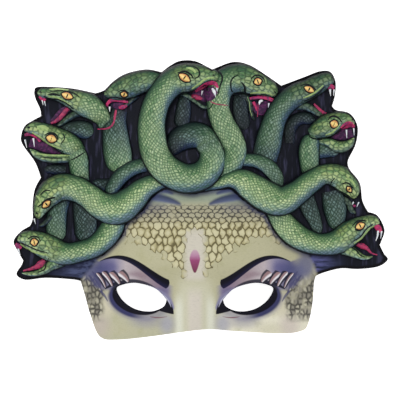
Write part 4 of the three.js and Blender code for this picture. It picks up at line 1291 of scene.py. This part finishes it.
def sheet_print(kit, colours, sizes):
    """The painted face, with painted shadow under the snakes and painted shade in the gaps, and the dark
    ground of the crown behind the snakes
    """
    material, bench, surface, place = kit.start("Sheet print", 0.5, 0.08)
    x, y, _ = bench.split(place)
    to_body, to_edge, _ = bench.split(bench.map("Form"))
    inside_face, _, _ = bench.split(bench.map("Tone"))
    body_mm = bench.both(to_body, MAP_SPAN / MM)
    edge_mm = bench.both(to_edge, MAP_SPAN / MM)
    signed = bench.minus(x, FACE_AXIS / MM)
    across = bench.math("ABSOLUTE", signed)
    half = bench.join(across, y)
    mid = bench.noise(place, 0.12, 3.0)

    colour = face_ground(kit, bench, colours, half, across, signed, y, mid)
    colour = brow_scales(kit, bench, sizes, colour, signed, y, mid)
    colour = temple_scales(kit, bench, colour, across, y, mid)
    colour = eye_paint(kit, bench, colour, half, across)
    colour = forehead_marks(kit, bench, colour, half, across, y)
    # Painted shadow of the snakes on the face, with a dark line where they meet it
    colour = bench.lay(colour, 0.75, bench.step(body_mm, 4.5, 0.5), paint(62, 68, 104))
    colour = bench.lay(colour, 1.0, bench.step(body_mm, 1.2, 0.5), paint(16, 19, 30))
    ground = crown_ground(bench, place, across, signed, y, mid, edge_mm)
    colour = bench.mix(bench.step(inside_face, 0.46, 0.54), ground, colour)
    colour = bench.group(kit.pencil, Colour=colour, Place=place, Strength=0.2)["Colour"]
    # Painted shade in the gaps
    colour = bench.lay(colour, 1.0, kit.gap_shade(bench, 0.45, 0.9, 0.6), paint(26, 28, 48))
    fine = bench.group(kit.grain, Place=place, Pitch=1.6)
    bench.give(surface.inputs["Roughness"], bench.step(fine["Tint"], 0.2, 0.8, 0.42, 0.58))
    kit.finish(bench, surface, colour, fine["Rise"], 0.0001, 0.25)
    return material


def plain_finish(kit, name, shade, dark, roughness, strength=0.5, specular=0.15):
    """A finish of one colour, drawn with pencil streaks"""
    material, bench, surface, place = kit.start(name, roughness, specular)
    drift = bench.step(bench.noise(place, 0.5, 2.0), 0.4, 0.7)
    colour = bench.mix(drift, paint(*shade), paint(*dark))
    drawn = bench.group(kit.pencil, Colour=colour, Place=place, Strength=strength)["Colour"]
    fine = bench.group(kit.grain, Place=place, Pitch=1.6)
    kit.finish(bench, surface, drawn, fine["Rise"], 0.0001, 0.25)
    return material


def eye_finish(kit):
    """Amber eye, darker towards its rim"""
    material, bench, surface, place = kit.start("Snake eye", 0.3, 0.4)
    edge = bench.split(bench.map("Form"))[1]
    amber = bench.mix(bench.step(edge, 0.3, 1.0), paint(238, 204, 122), paint(186, 112, 58))
    fleck = bench.step(bench.noise(place, 1.6, 2.0), 0.5, 0.75)
    kit.finish(bench, surface, bench.lay(amber, 0.5, fleck, paint(248, 224, 160)), fleck, 0.0001, 0.1)
    return material


PLAIN_FINISHES = {
    "back": ("Foam back", (40, 41, 46), (52, 53, 58), 0.9, 0.3),
    "edge": ("Foam edge", (18, 18, 23), (30, 30, 36), 0.85, 0.3),
    "mouth": ("Mouth lining", (58, 34, 64), (98, 46, 92), 0.5),
    "gum": ("Gum", (190, 48, 100), (112, 38, 88), 0.4, 0.7, 0.3),
    "tongue": ("Tongue", (176, 50, 92), (112, 40, 78), 0.4, 0.7, 0.3),
    "fang": ("Fang", (236, 238, 240), (206, 214, 224), 0.35, 0.1, 0.3),
    "line": ("Ink line", (14, 22, 24), (22, 30, 32), 0.6, 0.1),
    # Pale strips are pale lip scales and painted highlights on the heads
    "pale": ("Pale scale", (164, 188, 124), (134, 164, 104), 0.45),
}


def make_finishes(kit, colours, sizes):
    finishes = {"skin": snake_skin(kit, colours, sizes), "print": sheet_print(kit, colours, sizes)}
    for key, look in PLAIN_FINISHES.items():
        finishes[key] = plain_finish(kit, *look)
    finishes["eye"] = eye_finish(kit)
    return finishes


# Mask pieces

def section_curve(name, points):
    """A closed profile that a route carries along"""
    bpy.ops.curve.primitive_bezier_curve_add(enter_editmode=False)
    profile = bpy.context.object
    profile.name = name
    profile.data.splines.clear()
    spline = profile.data.splines.new("POLY")
    spline.points.add(len(points) - 1)
    spline.use_cyclic_u = True
    for point, (x, y) in zip(spline.points, points):
        point.co = (x, y, 0, 1)
    return profile


def body_section():
    angles = [math.pi * i / SECTION_FLATS for i in range(SECTION_FLATS + 1)]
    return [(math.cos(a), math.sin(a)) for a in angles] + [(-1, -1), (-0.33, -1), (0.33, -1), (1, -1)]


def bead_section():
    angles = [2 * math.pi * i / BEAD_FLATS for i in range(BEAD_FLATS)]
    return [(math.cos(a), math.sin(a)) for a in angles]


def drawn_bar(name, stations, profile, resolution):
    """A bar drawn flat along its stations, with its profile at each ring"""
    bpy.ops.curve.primitive_bezier_curve_add(enter_editmode=False)
    route = bpy.context.object
    route.name = name
    spline = route.data.splines[0]
    if len(stations) > 2:
        spline.bezier_points.add(len(stations) - 2)
    for point, (x, y, half_width) in zip(spline.bezier_points, stations):
        point.co = (x * MM, y * MM, 0)
        point.radius = half_width * MM
        point.handle_left_type = "AUTO"
        point.handle_right_type = "AUTO"
    spline.radius_interpolation = "CARDINAL"
    route.data.dimensions = "3D"
    route.data.twist_mode = "Z_UP"
    route.data.bevel_mode = "OBJECT"
    route.data.bevel_object = profile
    route.data.resolution_u = resolution
    pick(route)
    bpy.ops.object.convert(target="MESH")
    bar = bpy.context.object
    while bar.data.uv_layers:
        bar.data.uv_layers.remove(bar.data.uv_layers[0])
    return bar


def end_taper(share, length, last_half, blunt):
    """How an end narrows: a snout is rounded off, any other end runs out slowly"""
    if blunt:
        reach = SNOUT_ROUND * last_half
        past = np.maximum(0, (length - length[-1] + reach) / reach)
    else:
        past = np.maximum(0, (share - 1 + TIP_CAP) / TIP_CAP)
    return np.maximum(TIP_END, np.sqrt(np.maximum(0, 1 - past**2)))


def print_body(bar, name, section, side, radius, length, share, tones, head):
    """Maps along a body: its skin, the light on it, its tone of painted shade, and where its head is"""
    angle = np.arctan2(np.maximum(section[:, 1], 0), section[:, 0]) - math.pi / 2
    girth = angle[None, :] * radius[:, None] / MM
    offset = sum(map(ord, name)) % PRINT_OFFSETS
    to_light = (side @ np.array(PRINT_LIGHT))[:, None] * section[None, :, 0]
    # Painted shade: a body is darker where it comes out from behind another, and darker still by its tone
    start = START_SHADE + (1 - START_SHADE) * smoothstep(share, 0.0, START_SHADE_REACH)
    shaded_tone = (tones[0] + (tones[1] - tones[0]) * share) * start
    on_head = smoothstep(length, length[-1] - head, length[-1] - head + HEAD_BLEND) if head else 0 * length
    for label, first, second in (
        ("Skin", length[:, None] + offset, girth),
        ("Form", 0.5 + 0.5 * to_light, np.abs(section[:, 0])[None, :]),
        ("Tone", shaded_tone[:, None], on_head[:, None]),
    ):
        pair = [np.broadcast_to(values, girth.shape) for values in (first, second)]
        lay_map(bar, label, np.dstack(pair))


def laid_body(name, stations, profile, fullness, lift, tones, head, thickness, finish, nod=0.0, blunt=False):
    """A snake's body: a half-round bar laid on the sheet, with its print"""
    bar = drawn_bar(name, stations, profile, RINGS_PER_STATION)
    section = np.array(body_section())
    rings = places(bar).reshape(-1, len(section), 3)[:, :, :2]
    centre = (rings[:, 0] + rings[:, SECTION_FLATS]) / 2
    side = (rings[:, 0] - rings[:, SECTION_FLATS]) / 2
    radius = np.linalg.norm(side, axis=1)
    side = side / radius[:, None]
    share = np.linspace(0, 1, len(rings))
    steps = np.linalg.norm(np.diff(centre, axis=0), axis=1)
    length = np.concatenate([[0], np.cumsum(steps)]) / MM
    tip = end_taper(share, length, stations[-1][2], blunt)
    out = smoothstep(share, 0, ROOT_SHARE)
    set_up = lift * out + nod * smoothstep(share, NOD_FROM, NOD_TO)
    across = section[None, :, 0] * (radius * tip)[:, None]
    flat = centre[:, None, :] + side[:, None, :] * across[:, :, None]
    back = section[None, :, 1] * (radius * fullness * (ROOT_END + (1 - ROOT_END) * out))[:, None]
    rise = ((set_up * MM)[:, None] + back) * tip[:, None]
    rise[:, section[:, 1] < -0.5] = -BODY_ROOT
    height = thickness + sheet_back(flat[..., 0], flat[..., 1]) + rise
    move_to(bar, np.dstack([flat, height]).reshape(-1, 3))
    print_body(bar, name, section, side, radius, length, share, tones, head)
    dress(bar, finish)
    in_edit_mode(bar, close_ends, face_outwards)
    return bar


def laid_bead(name, stations, profile, rise, surface, finish):
    """A small round strip that lies on a surface all over"""
    bar = drawn_bar(name, stations, profile, BEAD_RINGS)
    rings = places(bar).reshape(-1, BEAD_FLATS, 3)
    opposite = BEAD_FLATS // 2
    radius = np.linalg.norm(rings[:, 0] - rings[:, opposite], axis=1) / 2
    level = np.array([[surface(x, y) for x, y, _ in ring] for ring in rings])
    turn = 2 * math.pi * np.arange(BEAD_FLATS) / BEAD_FLATS
    up = np.sin(turn)[None, :]
    root = np.minimum(PIECE_ROOT * radius, ROOT_DEPTH)
    rings[:, :, 2] = level + up * np.where(up > 0, rise * radius[:, None], root[:, None])
    move_to(bar, rings.reshape(-1, 3))
    across = np.broadcast_to(np.abs(np.cos(turn)), rings.shape[:2])
    for label, first in (("Skin", across), ("Form", 0 * across + 0.5), ("Tone", 0 * across + 1)):
        lay_map(bar, label, np.dstack([first, across]))
    dress(bar, finish)
    in_edit_mode(bar, close_ends, face_outwards)
    return bar


def thicken(item, height):
    """Gives a flat mesh straight walls and a top"""
    raise_by = {"value": (0, 0, height)}
    in_edit_mode(
        item, lambda: bpy.ops.mesh.extrude_region_move(TRANSFORM_OT_translate=raise_by), face_outwards
    )


def plate(name, ring, low, length):
    """A straight-walled punch over a closed ring of points"""
    bpy.ops.mesh.primitive_circle_add(vertices=len(ring), radius=0.1, fill_type="NGON")
    punch = bpy.context.object
    punch.name = name
    move_to(punch, [(x, y, low) for x, y in ring])
    thicken(punch, length)
    return punch


def through(points, steps):
    """A smooth open curve through points, in metres, without its last point"""
    ends = [points[0], *points, points[-1]]
    curve = []
    for before, start, end, after in zip(ends, ends[1:], ends[2:], ends[3:]):
        for i in range(steps):
            t = i / steps
            curve.append(tuple(
                MM * 0.5 * (2 * b + (c - a) * t + (2 * a - 5 * b + 4 * c - d) * t * t
                            + (3 * b - a - 3 * c + d) * t**3)
                for a, b, c, d in zip(before, start, end, after)
            ))
    return curve


def outline_ring():
    """The cut outline, a hair inside the solid's"""
    ring = []
    for lobe, following in zip(OUTLINE_LOBES, OUTLINE_LOBES[1:] + OUTLINE_LOBES[:1]):
        ring += through([*lobe, following[0]], RING_STEPS)
    ring = np.array(ring)
    middle = (ring.min(axis=0) + ring.max(axis=0)) / 2
    return [tuple(point) for point in middle + (ring - middle) * OUTLINE_TRIM]


def eye_ring(side):
    centre = FACE_AXIS / MM + side * EYE_SPACING / MM / 2
    points = [(centre + side * x, EYE_LEVEL / MM + y) for x, y in EYE_OPENING]
    return through([*points, points[0]], RING_STEPS)


def distance_to_ring(x, y, ring, radii=None, closed=True):
    """How far points are from a line of points, less its half width there"""
    ring = np.asarray(ring, dtype=float)
    starts = ring if closed else ring[:-1]
    ends = np.roll(ring, -1, axis=0) if closed else ring[1:]
    nearest = np.full(x.shape, np.inf)
    for i, (a, b) in enumerate(zip(starts, ends)):
        run = b - a
        t = np.clip(((x - a[0]) * run[0] + (y - a[1]) * run[1]) / (run @ run), 0, 1)
        away = np.hypot(x - a[0] - t * run[0], y - a[1] - t * run[1])
        if radii is not None:
            away = away - (radii[i] + t * (radii[i + 1] - radii[i]))
        nearest = np.minimum(nearest, away)
    return nearest


def inside_ring(x, y, ring):
    """Which points a closed ring holds"""
    inside = np.zeros(x.shape, dtype=bool)
    for (ax, ay), (bx, by) in zip(ring, ring[1:] + ring[:1]):
        crosses = (ay > y) != (by > y)
        with np.errstate(divide="ignore", invalid="ignore"):
            meets = ax + (y - ay) / (by - ay) * (bx - ax)
        inside ^= crosses & (x < meets)
    return inside


def routes_of(snake):
    """A snake's bars: name, route, lift, length of the head on it in millimetres, and tone of painted shade
    """
    bars = [
        ("body", snake["body"], snake["lift"], HEAD_LENGTH, snake["tone"]),
        ("jaw", snake["jaw"], snake["lift"], HEAD_LENGTH, snake["jaw_tone"]),
    ]
    if "neck" in snake:
        bars.append(("neck", snake["neck"], 0, 0, NECK_TONE))
    return bars


def print_sheet(sheet):
    """Maps of the sheet: its place, how near a body and the cut edge are, and what is inside the face"""
    at = places(sheet)
    x, y = at[:, 0], at[:, 1]
    near = np.full(x.shape, np.inf)
    for snake in SNAKES.values():
        for bar in routes_of(snake):
            points = np.array(bar[1]) * MM
            near = np.minimum(near, distance_to_ring(x, y, points[:, :2], points[:, 2], closed=False))
    to_edge = distance_to_ring(x, y, outline_ring())
    face_ring = [(px * MM, py * MM) for px, py in FACE_EDGE]
    to_face = distance_to_ring(x, y, face_ring)
    to_face = np.where(inside_ring(x, y, face_ring), to_face, -to_face)
    form = np.stack([np.clip(near / MAP_SPAN, 0, 1), np.clip(to_edge / MAP_SPAN, 0, 1)], axis=1)
    tone = np.stack([np.clip(0.5 + to_face / MAP_SPAN / 2, 0, 1), 0 * x], axis=1)
    for label, values in (("Skin", at[:, :2] / MM), ("Form", form), ("Tone", tone)):
        lay_map(sheet, label, values)


def pressed_sheet(sizes, finishes):
    """The foam sheet, pressed over the form, with its print and its plain back"""
    columns = round(BLANK_WIDTH / sizes.cell)
    rows = round(BLANK_HEIGHT / sizes.cell)
    bpy.ops.mesh.primitive_grid_add(x_subdivisions=columns, y_subdivisions=rows, size=1)
    sheet = bpy.context.object
    sheet.name = "Sheet"
    move_to(sheet, places(sheet) * (BLANK_WIDTH, BLANK_HEIGHT, 1))
    thicken(sheet, sizes.thickness)
    at = places(sheet)
    at[:, 2] += sheet_back(at[:, 0], at[:, 1])
    move_to(sheet, at)
    print_sheet(sheet)
    dress(sheet, finishes["print"])
    sheet.data.materials.append(finishes["back"])
    for face in sheet.data.polygons:
        face.material_index = 1 if face.normal.z < BACK_FACING else 0


def height_finder(item):
    tree = BVHTree.FromObject(item, bpy.context.evaluated_depsgraph_get())

    def height(x, y):
        hit = tree.ray_cast(Vector((x, y, 1)), Vector((0, 0, -1)))[0]
        return hit.z if hit else 0.0

    return height


def raised(surface, by):
    """A surface a little over another one"""
    return lambda x, y: surface(x, y) + by


def oval_stations(start, end, half, longer=0.0):
    """Stations of an oval between two ends"""
    start, end = Vector(start), Vector(end)
    run = (end - start).normalized() * longer
    start, end = start - run, end + run
    stations = []
    for share, width in OVAL_WIDTHS:
        place = start.lerp(end, share)
        stations.append((place.x, place.y, half * width))
    return stations


def eye_pieces(name, snake, profile, on_skin, finishes):
    """An amber eye in its dark lid, with a slit pupil"""
    start, end, half = snake["eye"]
    middle = (Vector(start) + Vector(end)) / 2
    run = (Vector(end) - Vector(start)).normalized()
    slit = Vector((run.y, -run.x)) * half * PUPIL_REACH
    pieces = []
    for label, stations, finish, over, rise in (
        ("lid", oval_stations(start, end, half + LID_MARGIN, LID_LONGER), "line", 0.0, 0.12),
        ("ball", oval_stations(start, end, half), "eye", 0.2, 0.35),
        ("pupil", oval_stations(middle + slit, middle - slit, PUPIL_HALF_WIDTH), "line", 0.8, 0.5),
    ):
        surface = raised(on_skin, over * MM)
        pieces.append(laid_bead(f"{name}_{label}", stations, profile, rise, surface, finishes[finish]))
    return pieces


class MASK_OT_press_sheet(bpy.types.Operator):
    """Press the foam sheet over the form"""

    bl_idname = "mask.press_sheet"
    bl_label = "Press the sheet"

    def execute(self, context):
        scene = context.scene
        kit = Kit(mask_shift())
        finishes = make_finishes(kit, scene.mask_colours, scene.mask_sizes)
        for key, material in finishes.items():
            material["finish"] = key
        pressed_sheet(scene.mask_sizes, finishes)
        return {"FINISHED"}


def finishes_made():
    return {m["finish"]: m for m in bpy.data.materials if "finish" in m}


def mask_shift():
    """How far the finished mask moves so that its outline's box is centred, as the solid's is"""
    ring = np.array(outline_ring())
    return -(ring.min(axis=0) + ring.max(axis=0)) / 2


class MASK_OT_lay_snakes(bpy.types.Operator):
    """Lay the snakes and the bodies behind them on the sheet"""

    bl_idname = "mask.lay_snakes"
    bl_label = "Lay the snakes"

    def execute(self, context):
        finishes = finishes_made()
        thickness = context.scene.mask_sizes.thickness
        profile = section_curve("Body section", body_section())
        bodies = []
        for name, snake in SNAKES.items():
            for part, route, lift, head, tone in routes_of(snake):
                is_body = part == "body"
                bodies.append(laid_body(
                    f"{name}_{part}", route, profile, snake["fullness"], lift, (tone, tone), head, thickness,
                    finishes["skin"], nod=snake.get("nod", 0) if is_body else 0, blunt=is_body,
                ))
        for i, (tones, fullness, lift, route) in enumerate(BODIES_BEHIND):
            bodies.append(laid_body(
                f"behind_{i}", route, profile, fullness, lift, tones, 0, thickness, finishes["skin"]
            ))
        combine(bpy.data.objects["Sheet"], "UNION", bodies)
        bpy.data.objects.remove(profile)
        return {"FINISHED"}


class MASK_OT_set_heads(bpy.types.Operator):
    """Set the eyes, gums, fangs and tongues in the heads"""

    bl_idname = "mask.set_heads"
    bl_label = "Set the heads"

    def execute(self, context):
        finishes = finishes_made()
        thickness = context.scene.mask_sizes.thickness
        sheet = bpy.data.objects["Sheet"]
        on_skin = height_finder(sheet)

        def on_sheet(x, y):
            return thickness + sheet_back(x, y)

        profile = section_curve("Bead section", bead_section())
        linings, pieces = [], []
        for name, snake in SNAKES.items():
            for i, (finish, stations, *seat) in enumerate(HEAD_PIECES[name]):
                surface = raised(on_sheet, seat[0] * MM) if seat else on_skin
                layer = linings if finish == "mouth" else pieces
                layer.append(laid_bead(
                    f"{name}_{finish}_{i}", stations, profile, PIECE_RISE[finish], surface, finishes[finish]
                ))
            pieces += eye_pieces(name, snake, profile, on_skin, finishes)
        for layer in (linings, pieces):
            combine(sheet, "UNION", layer)
        bpy.data.objects.remove(profile)
        return {"FINISHED"}


def closeness(item):
    """How closed in each point of a mesh is, from 0 in the open to 1 in a deep gap"""
    tree = BVHTree.FromObject(item, bpy.context.evaluated_depsgraph_get())
    rays = []
    for ring, degrees in enumerate(CREVICE_TILTS):
        tilt = math.radians(degrees)
        for spoke in range(CREVICE_SPOKES):
            turn = 2 * math.pi * (spoke + 0.5 * ring) / CREVICE_SPOKES
            out = math.sin(tilt)
            rays.append(Vector((out * math.cos(turn), out * math.sin(turn), math.cos(tilt))))
    closed = np.zeros(len(item.data.vertices))
    for i, vertex in enumerate(item.data.vertices):
        if vertex.normal.z > CREVICE_FACING:
            start = vertex.co + vertex.normal * CREVICE_START
            hits = sum(tree.ray_cast(start, ray, CREVICE_REACH)[0] is not None for ray in rays)
            closed[i] = hits / len(rays)
    return closed


def per_corner(mesh, field, kind, width=1):
    """One value of each face, given to all its corners"""
    values = np.empty(width * len(mesh.polygons), dtype=kind)
    mesh.polygons.foreach_get(field, values)
    totals = np.empty(len(mesh.polygons), dtype=int)
    mesh.polygons.foreach_get("loop_total", totals)
    return np.repeat(values.reshape(-1, width), totals, axis=0)


def bake_map(item, walls):
    """A UV map with the printed face over most of it, the back beside that, and the cut walls unrolled"""
    mesh = item.data
    layer = mesh.uv_layers.new(name="OFBake")
    mesh.uv_layers.active = layer
    at = places(item)
    low, high = at.min(axis=0), at.max(axis=0)
    wide = high[0] - low[0]
    tall = (high[1] - low[1]) / wide
    corners = at[corner_vertices(mesh)]
    flat = (corners[:, :2] - low[:2]) / wide
    small = (BACK_FILL - tall) / tall
    front = flat * (1 - 2 * BAKE_EDGE) + BAKE_EDGE
    back = flat * small + (BAKE_EDGE, tall + BAKE_GAP)
    faces_up = per_corner(mesh, "normal", float, 3)[:, 2:] > 0
    placed = np.where(faces_up, front, back)

    middle = per_corner(mesh, "center", float, 3)
    is_wall = per_corner(mesh, "material_index", int)[:, 0] == walls
    strip_low = tall + STRIP_GAP
    strip_tall = (STRIP_TOP - strip_low) / 3
    centres = [(0.0, 0.0)] + [np.array(eye_ring(side)).mean(axis=0) + mask_shift() for side in (1, -1)]
    for i, centre in enumerate(centres):
        away = middle[:, :2] - centre
        mine = is_wall & (np.hypot(*away.T) < EYE_WALL_REACH) if i else is_wall
        turn = np.arctan2(away[:, 1], away[:, 0])
        own = np.arctan2(*(corners[:, :2] - centre).T[::-1])
        turned = turn + (own - turn + math.pi) % (2 * math.pi) - math.pi
        across = STRIP_LEFT + STRIP_WIDE * np.clip(0.5 + turned / (2 * math.pi), 0, 1)
        up = strip_low + strip_tall * (i + STRIP_FILL * corners[:, 2] / high[2])
        placed = np.where(mine[:, None], np.stack([across, up], axis=1), placed)
    layer.data.foreach_set("uv", placed.ravel())


def cut_out(mask, edge):
    """Cuts the outline and the eye openings, and gives their walls the edge finish"""
    outline = plate("Outline punch", outline_ring(), -PUNCH_BELOW, PUNCH_LENGTH)
    eyes = [plate(f"Eye punch {side}", eye_ring(side), -PUNCH_BELOW, PUNCH_LENGTH) for side in (1, -1)]
    for punch in (outline, *eyes):
        dress(punch, edge)
    combine(mask, "INTERSECT", [outline])
    combine(mask, "DIFFERENCE", eyes)


def note(mask, name, values):
    """Keeps one number for each vertex, which the finishes read"""
    mask.data.attributes.new(name, "FLOAT", "POINT").data.foreach_set("value", values)


class MASK_OT_trim(bpy.types.Operator):
    """Cut the mask to its outline, cut the eye openings, and finish it as one piece"""

    bl_idname = "mask.trim"
    bl_label = "Trim the mask"

    def execute(self, context):
        edge = finishes_made()["edge"]
        mask = bpy.data.objects["Sheet"]
        mask.name = "printed_mask"
        cut_out(mask, edge)
        at = places(mask)
        note(mask, "Rim", distance_to_ring(at[:, 0], at[:, 1], outline_ring()) / MM)
        middle = (at.min(axis=0) + at.max(axis=0)) / 2
        middle[2] = at[:, 2].min()
        move_to(mask, at - middle)
        # How closed in each point is, which sets the painted shade in the gaps
        note(mask, "Crevice", closeness(mask))
        pick(mask)
        bpy.ops.object.shade_smooth_by_angle(angle=math.radians(SMOOTH_ANGLE))
        bake_map(mask, mask.data.materials.find(edge.name))
        mask.data.calc_loop_triangles()
        count = len(mask.data.loop_triangles)
        print("triangles", count)
        if count > MOST_TRIANGLES:
            raise RuntimeError(f"the mask has {count} triangles, too many for one piece")
        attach(mask, "root")
        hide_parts(NODE)
        return {"FINISHED"}


def lay_floor():
    """A pale floor under the mask"""
    bpy.ops.mesh.primitive_plane_add(size=FLOOR_SIZE, location=(0, 0, 0))
    floor = bpy.context.object
    floor.name = "floor"
    material = bpy.data.materials.new("Pale floor")
    material.use_nodes = True
    bench = Bench(material.node_tree)
    surface = material.node_tree.nodes["Principled BSDF"]
    surface.inputs["Roughness"].default_value = FLOOR_ROUGHNESS
    surface.inputs["Emission Color"].default_value = WHITE
    surface.inputs["Emission Strength"].default_value = FLOOR_GLOW
    speck = bench.noise(bench.node("TexCoord").outputs["Object"], 3.0, 2.0)
    bench.give(surface.inputs["Base Color"], bench.mix(speck, *FLOOR_SHADES))
    dress(floor, material)


def light_room(scene):
    """A white room with two soft lights"""
    world = bpy.data.worlds.new("Studio")
    scene.world = world
    world.use_nodes = True
    sky = world.node_tree.nodes["Background"].inputs
    sky["Color"].default_value = WHITE
    sky["Strength"].default_value = WORLD_LIGHT
    for name, spot, size, power in LIGHTS:
        bpy.ops.object.light_add(type="AREA", location=spot)
        light = bpy.context.object
        light.name = name
        light.data.size = size
        light.data.energy = power
        light.rotation_euler = (-Vector(spot)).to_track_quat("-Z", "Y").to_euler()


def set_camera(scene):
    """A camera that looks down on the mask"""
    bpy.ops.object.camera_add(location=(*mask_shift(), CAMERA_HEIGHT), rotation=(0, 0, 0))
    camera = bpy.context.object
    camera.data.sensor_width = SENSOR_WIDTH
    camera.data.lens = SENSOR_WIDTH * (CAMERA_HEIGHT - FOCUS_LEVEL) / PICTURE_WIDTH
    scene.camera = camera
    scene.view_settings.view_transform = "Standard"


class MASK_OT_set_stage(bpy.types.Operator):
    """Set the floor, the studio lights and the camera"""

    bl_idname = "mask.set_stage"
    bl_label = "Set the stage"

    def execute(self, context):
        lay_floor()
        light_room(context.scene)
        set_camera(context.scene)
        return {"FINISHED"}


class MASK_PT_panel(bpy.types.Panel):
    """The steps of the mask, and its sizes and colours"""

    bl_idname = "MASK_PT_panel"
    bl_label = "Half mask"
    bl_space_type = "VIEW_3D"
    bl_region_type = "UI"
    bl_category = "Half mask"

    def draw(self, context):
        layout = self.layout
        for group in (context.scene.mask_sizes, context.scene.mask_colours):
            for name in group.__annotations__:
                layout.prop(group, name)
        for step in STEPS:
            layout.operator(step.bl_idname)


STEPS = (
    MASK_OT_press_sheet, MASK_OT_lay_snakes, MASK_OT_set_heads, MASK_OT_trim, MASK_OT_set_stage,
)
CLASSES = (MaskSizes, MaskColours, *STEPS, MASK_PT_panel)


def register():
    for item in CLASSES:
        bpy.utils.register_class(item)
    bpy.types.Scene.mask_sizes = bpy.props.PointerProperty(type=MaskSizes)
    bpy.types.Scene.mask_colours = bpy.props.PointerProperty(type=MaskColours)


def unregister():
    del bpy.types.Scene.mask_colours
    del bpy.types.Scene.mask_sizes
    for item in reversed(CLASSES):
        bpy.utils.unregister_class(item)


def main():
    register()
    bpy.ops.mask.press_sheet()
    bpy.ops.mask.lay_snakes()
    bpy.ops.mask.set_heads()
    bpy.ops.mask.trim()
    bpy.ops.mask.set_stage()


if __name__ == "__main__":
    main()
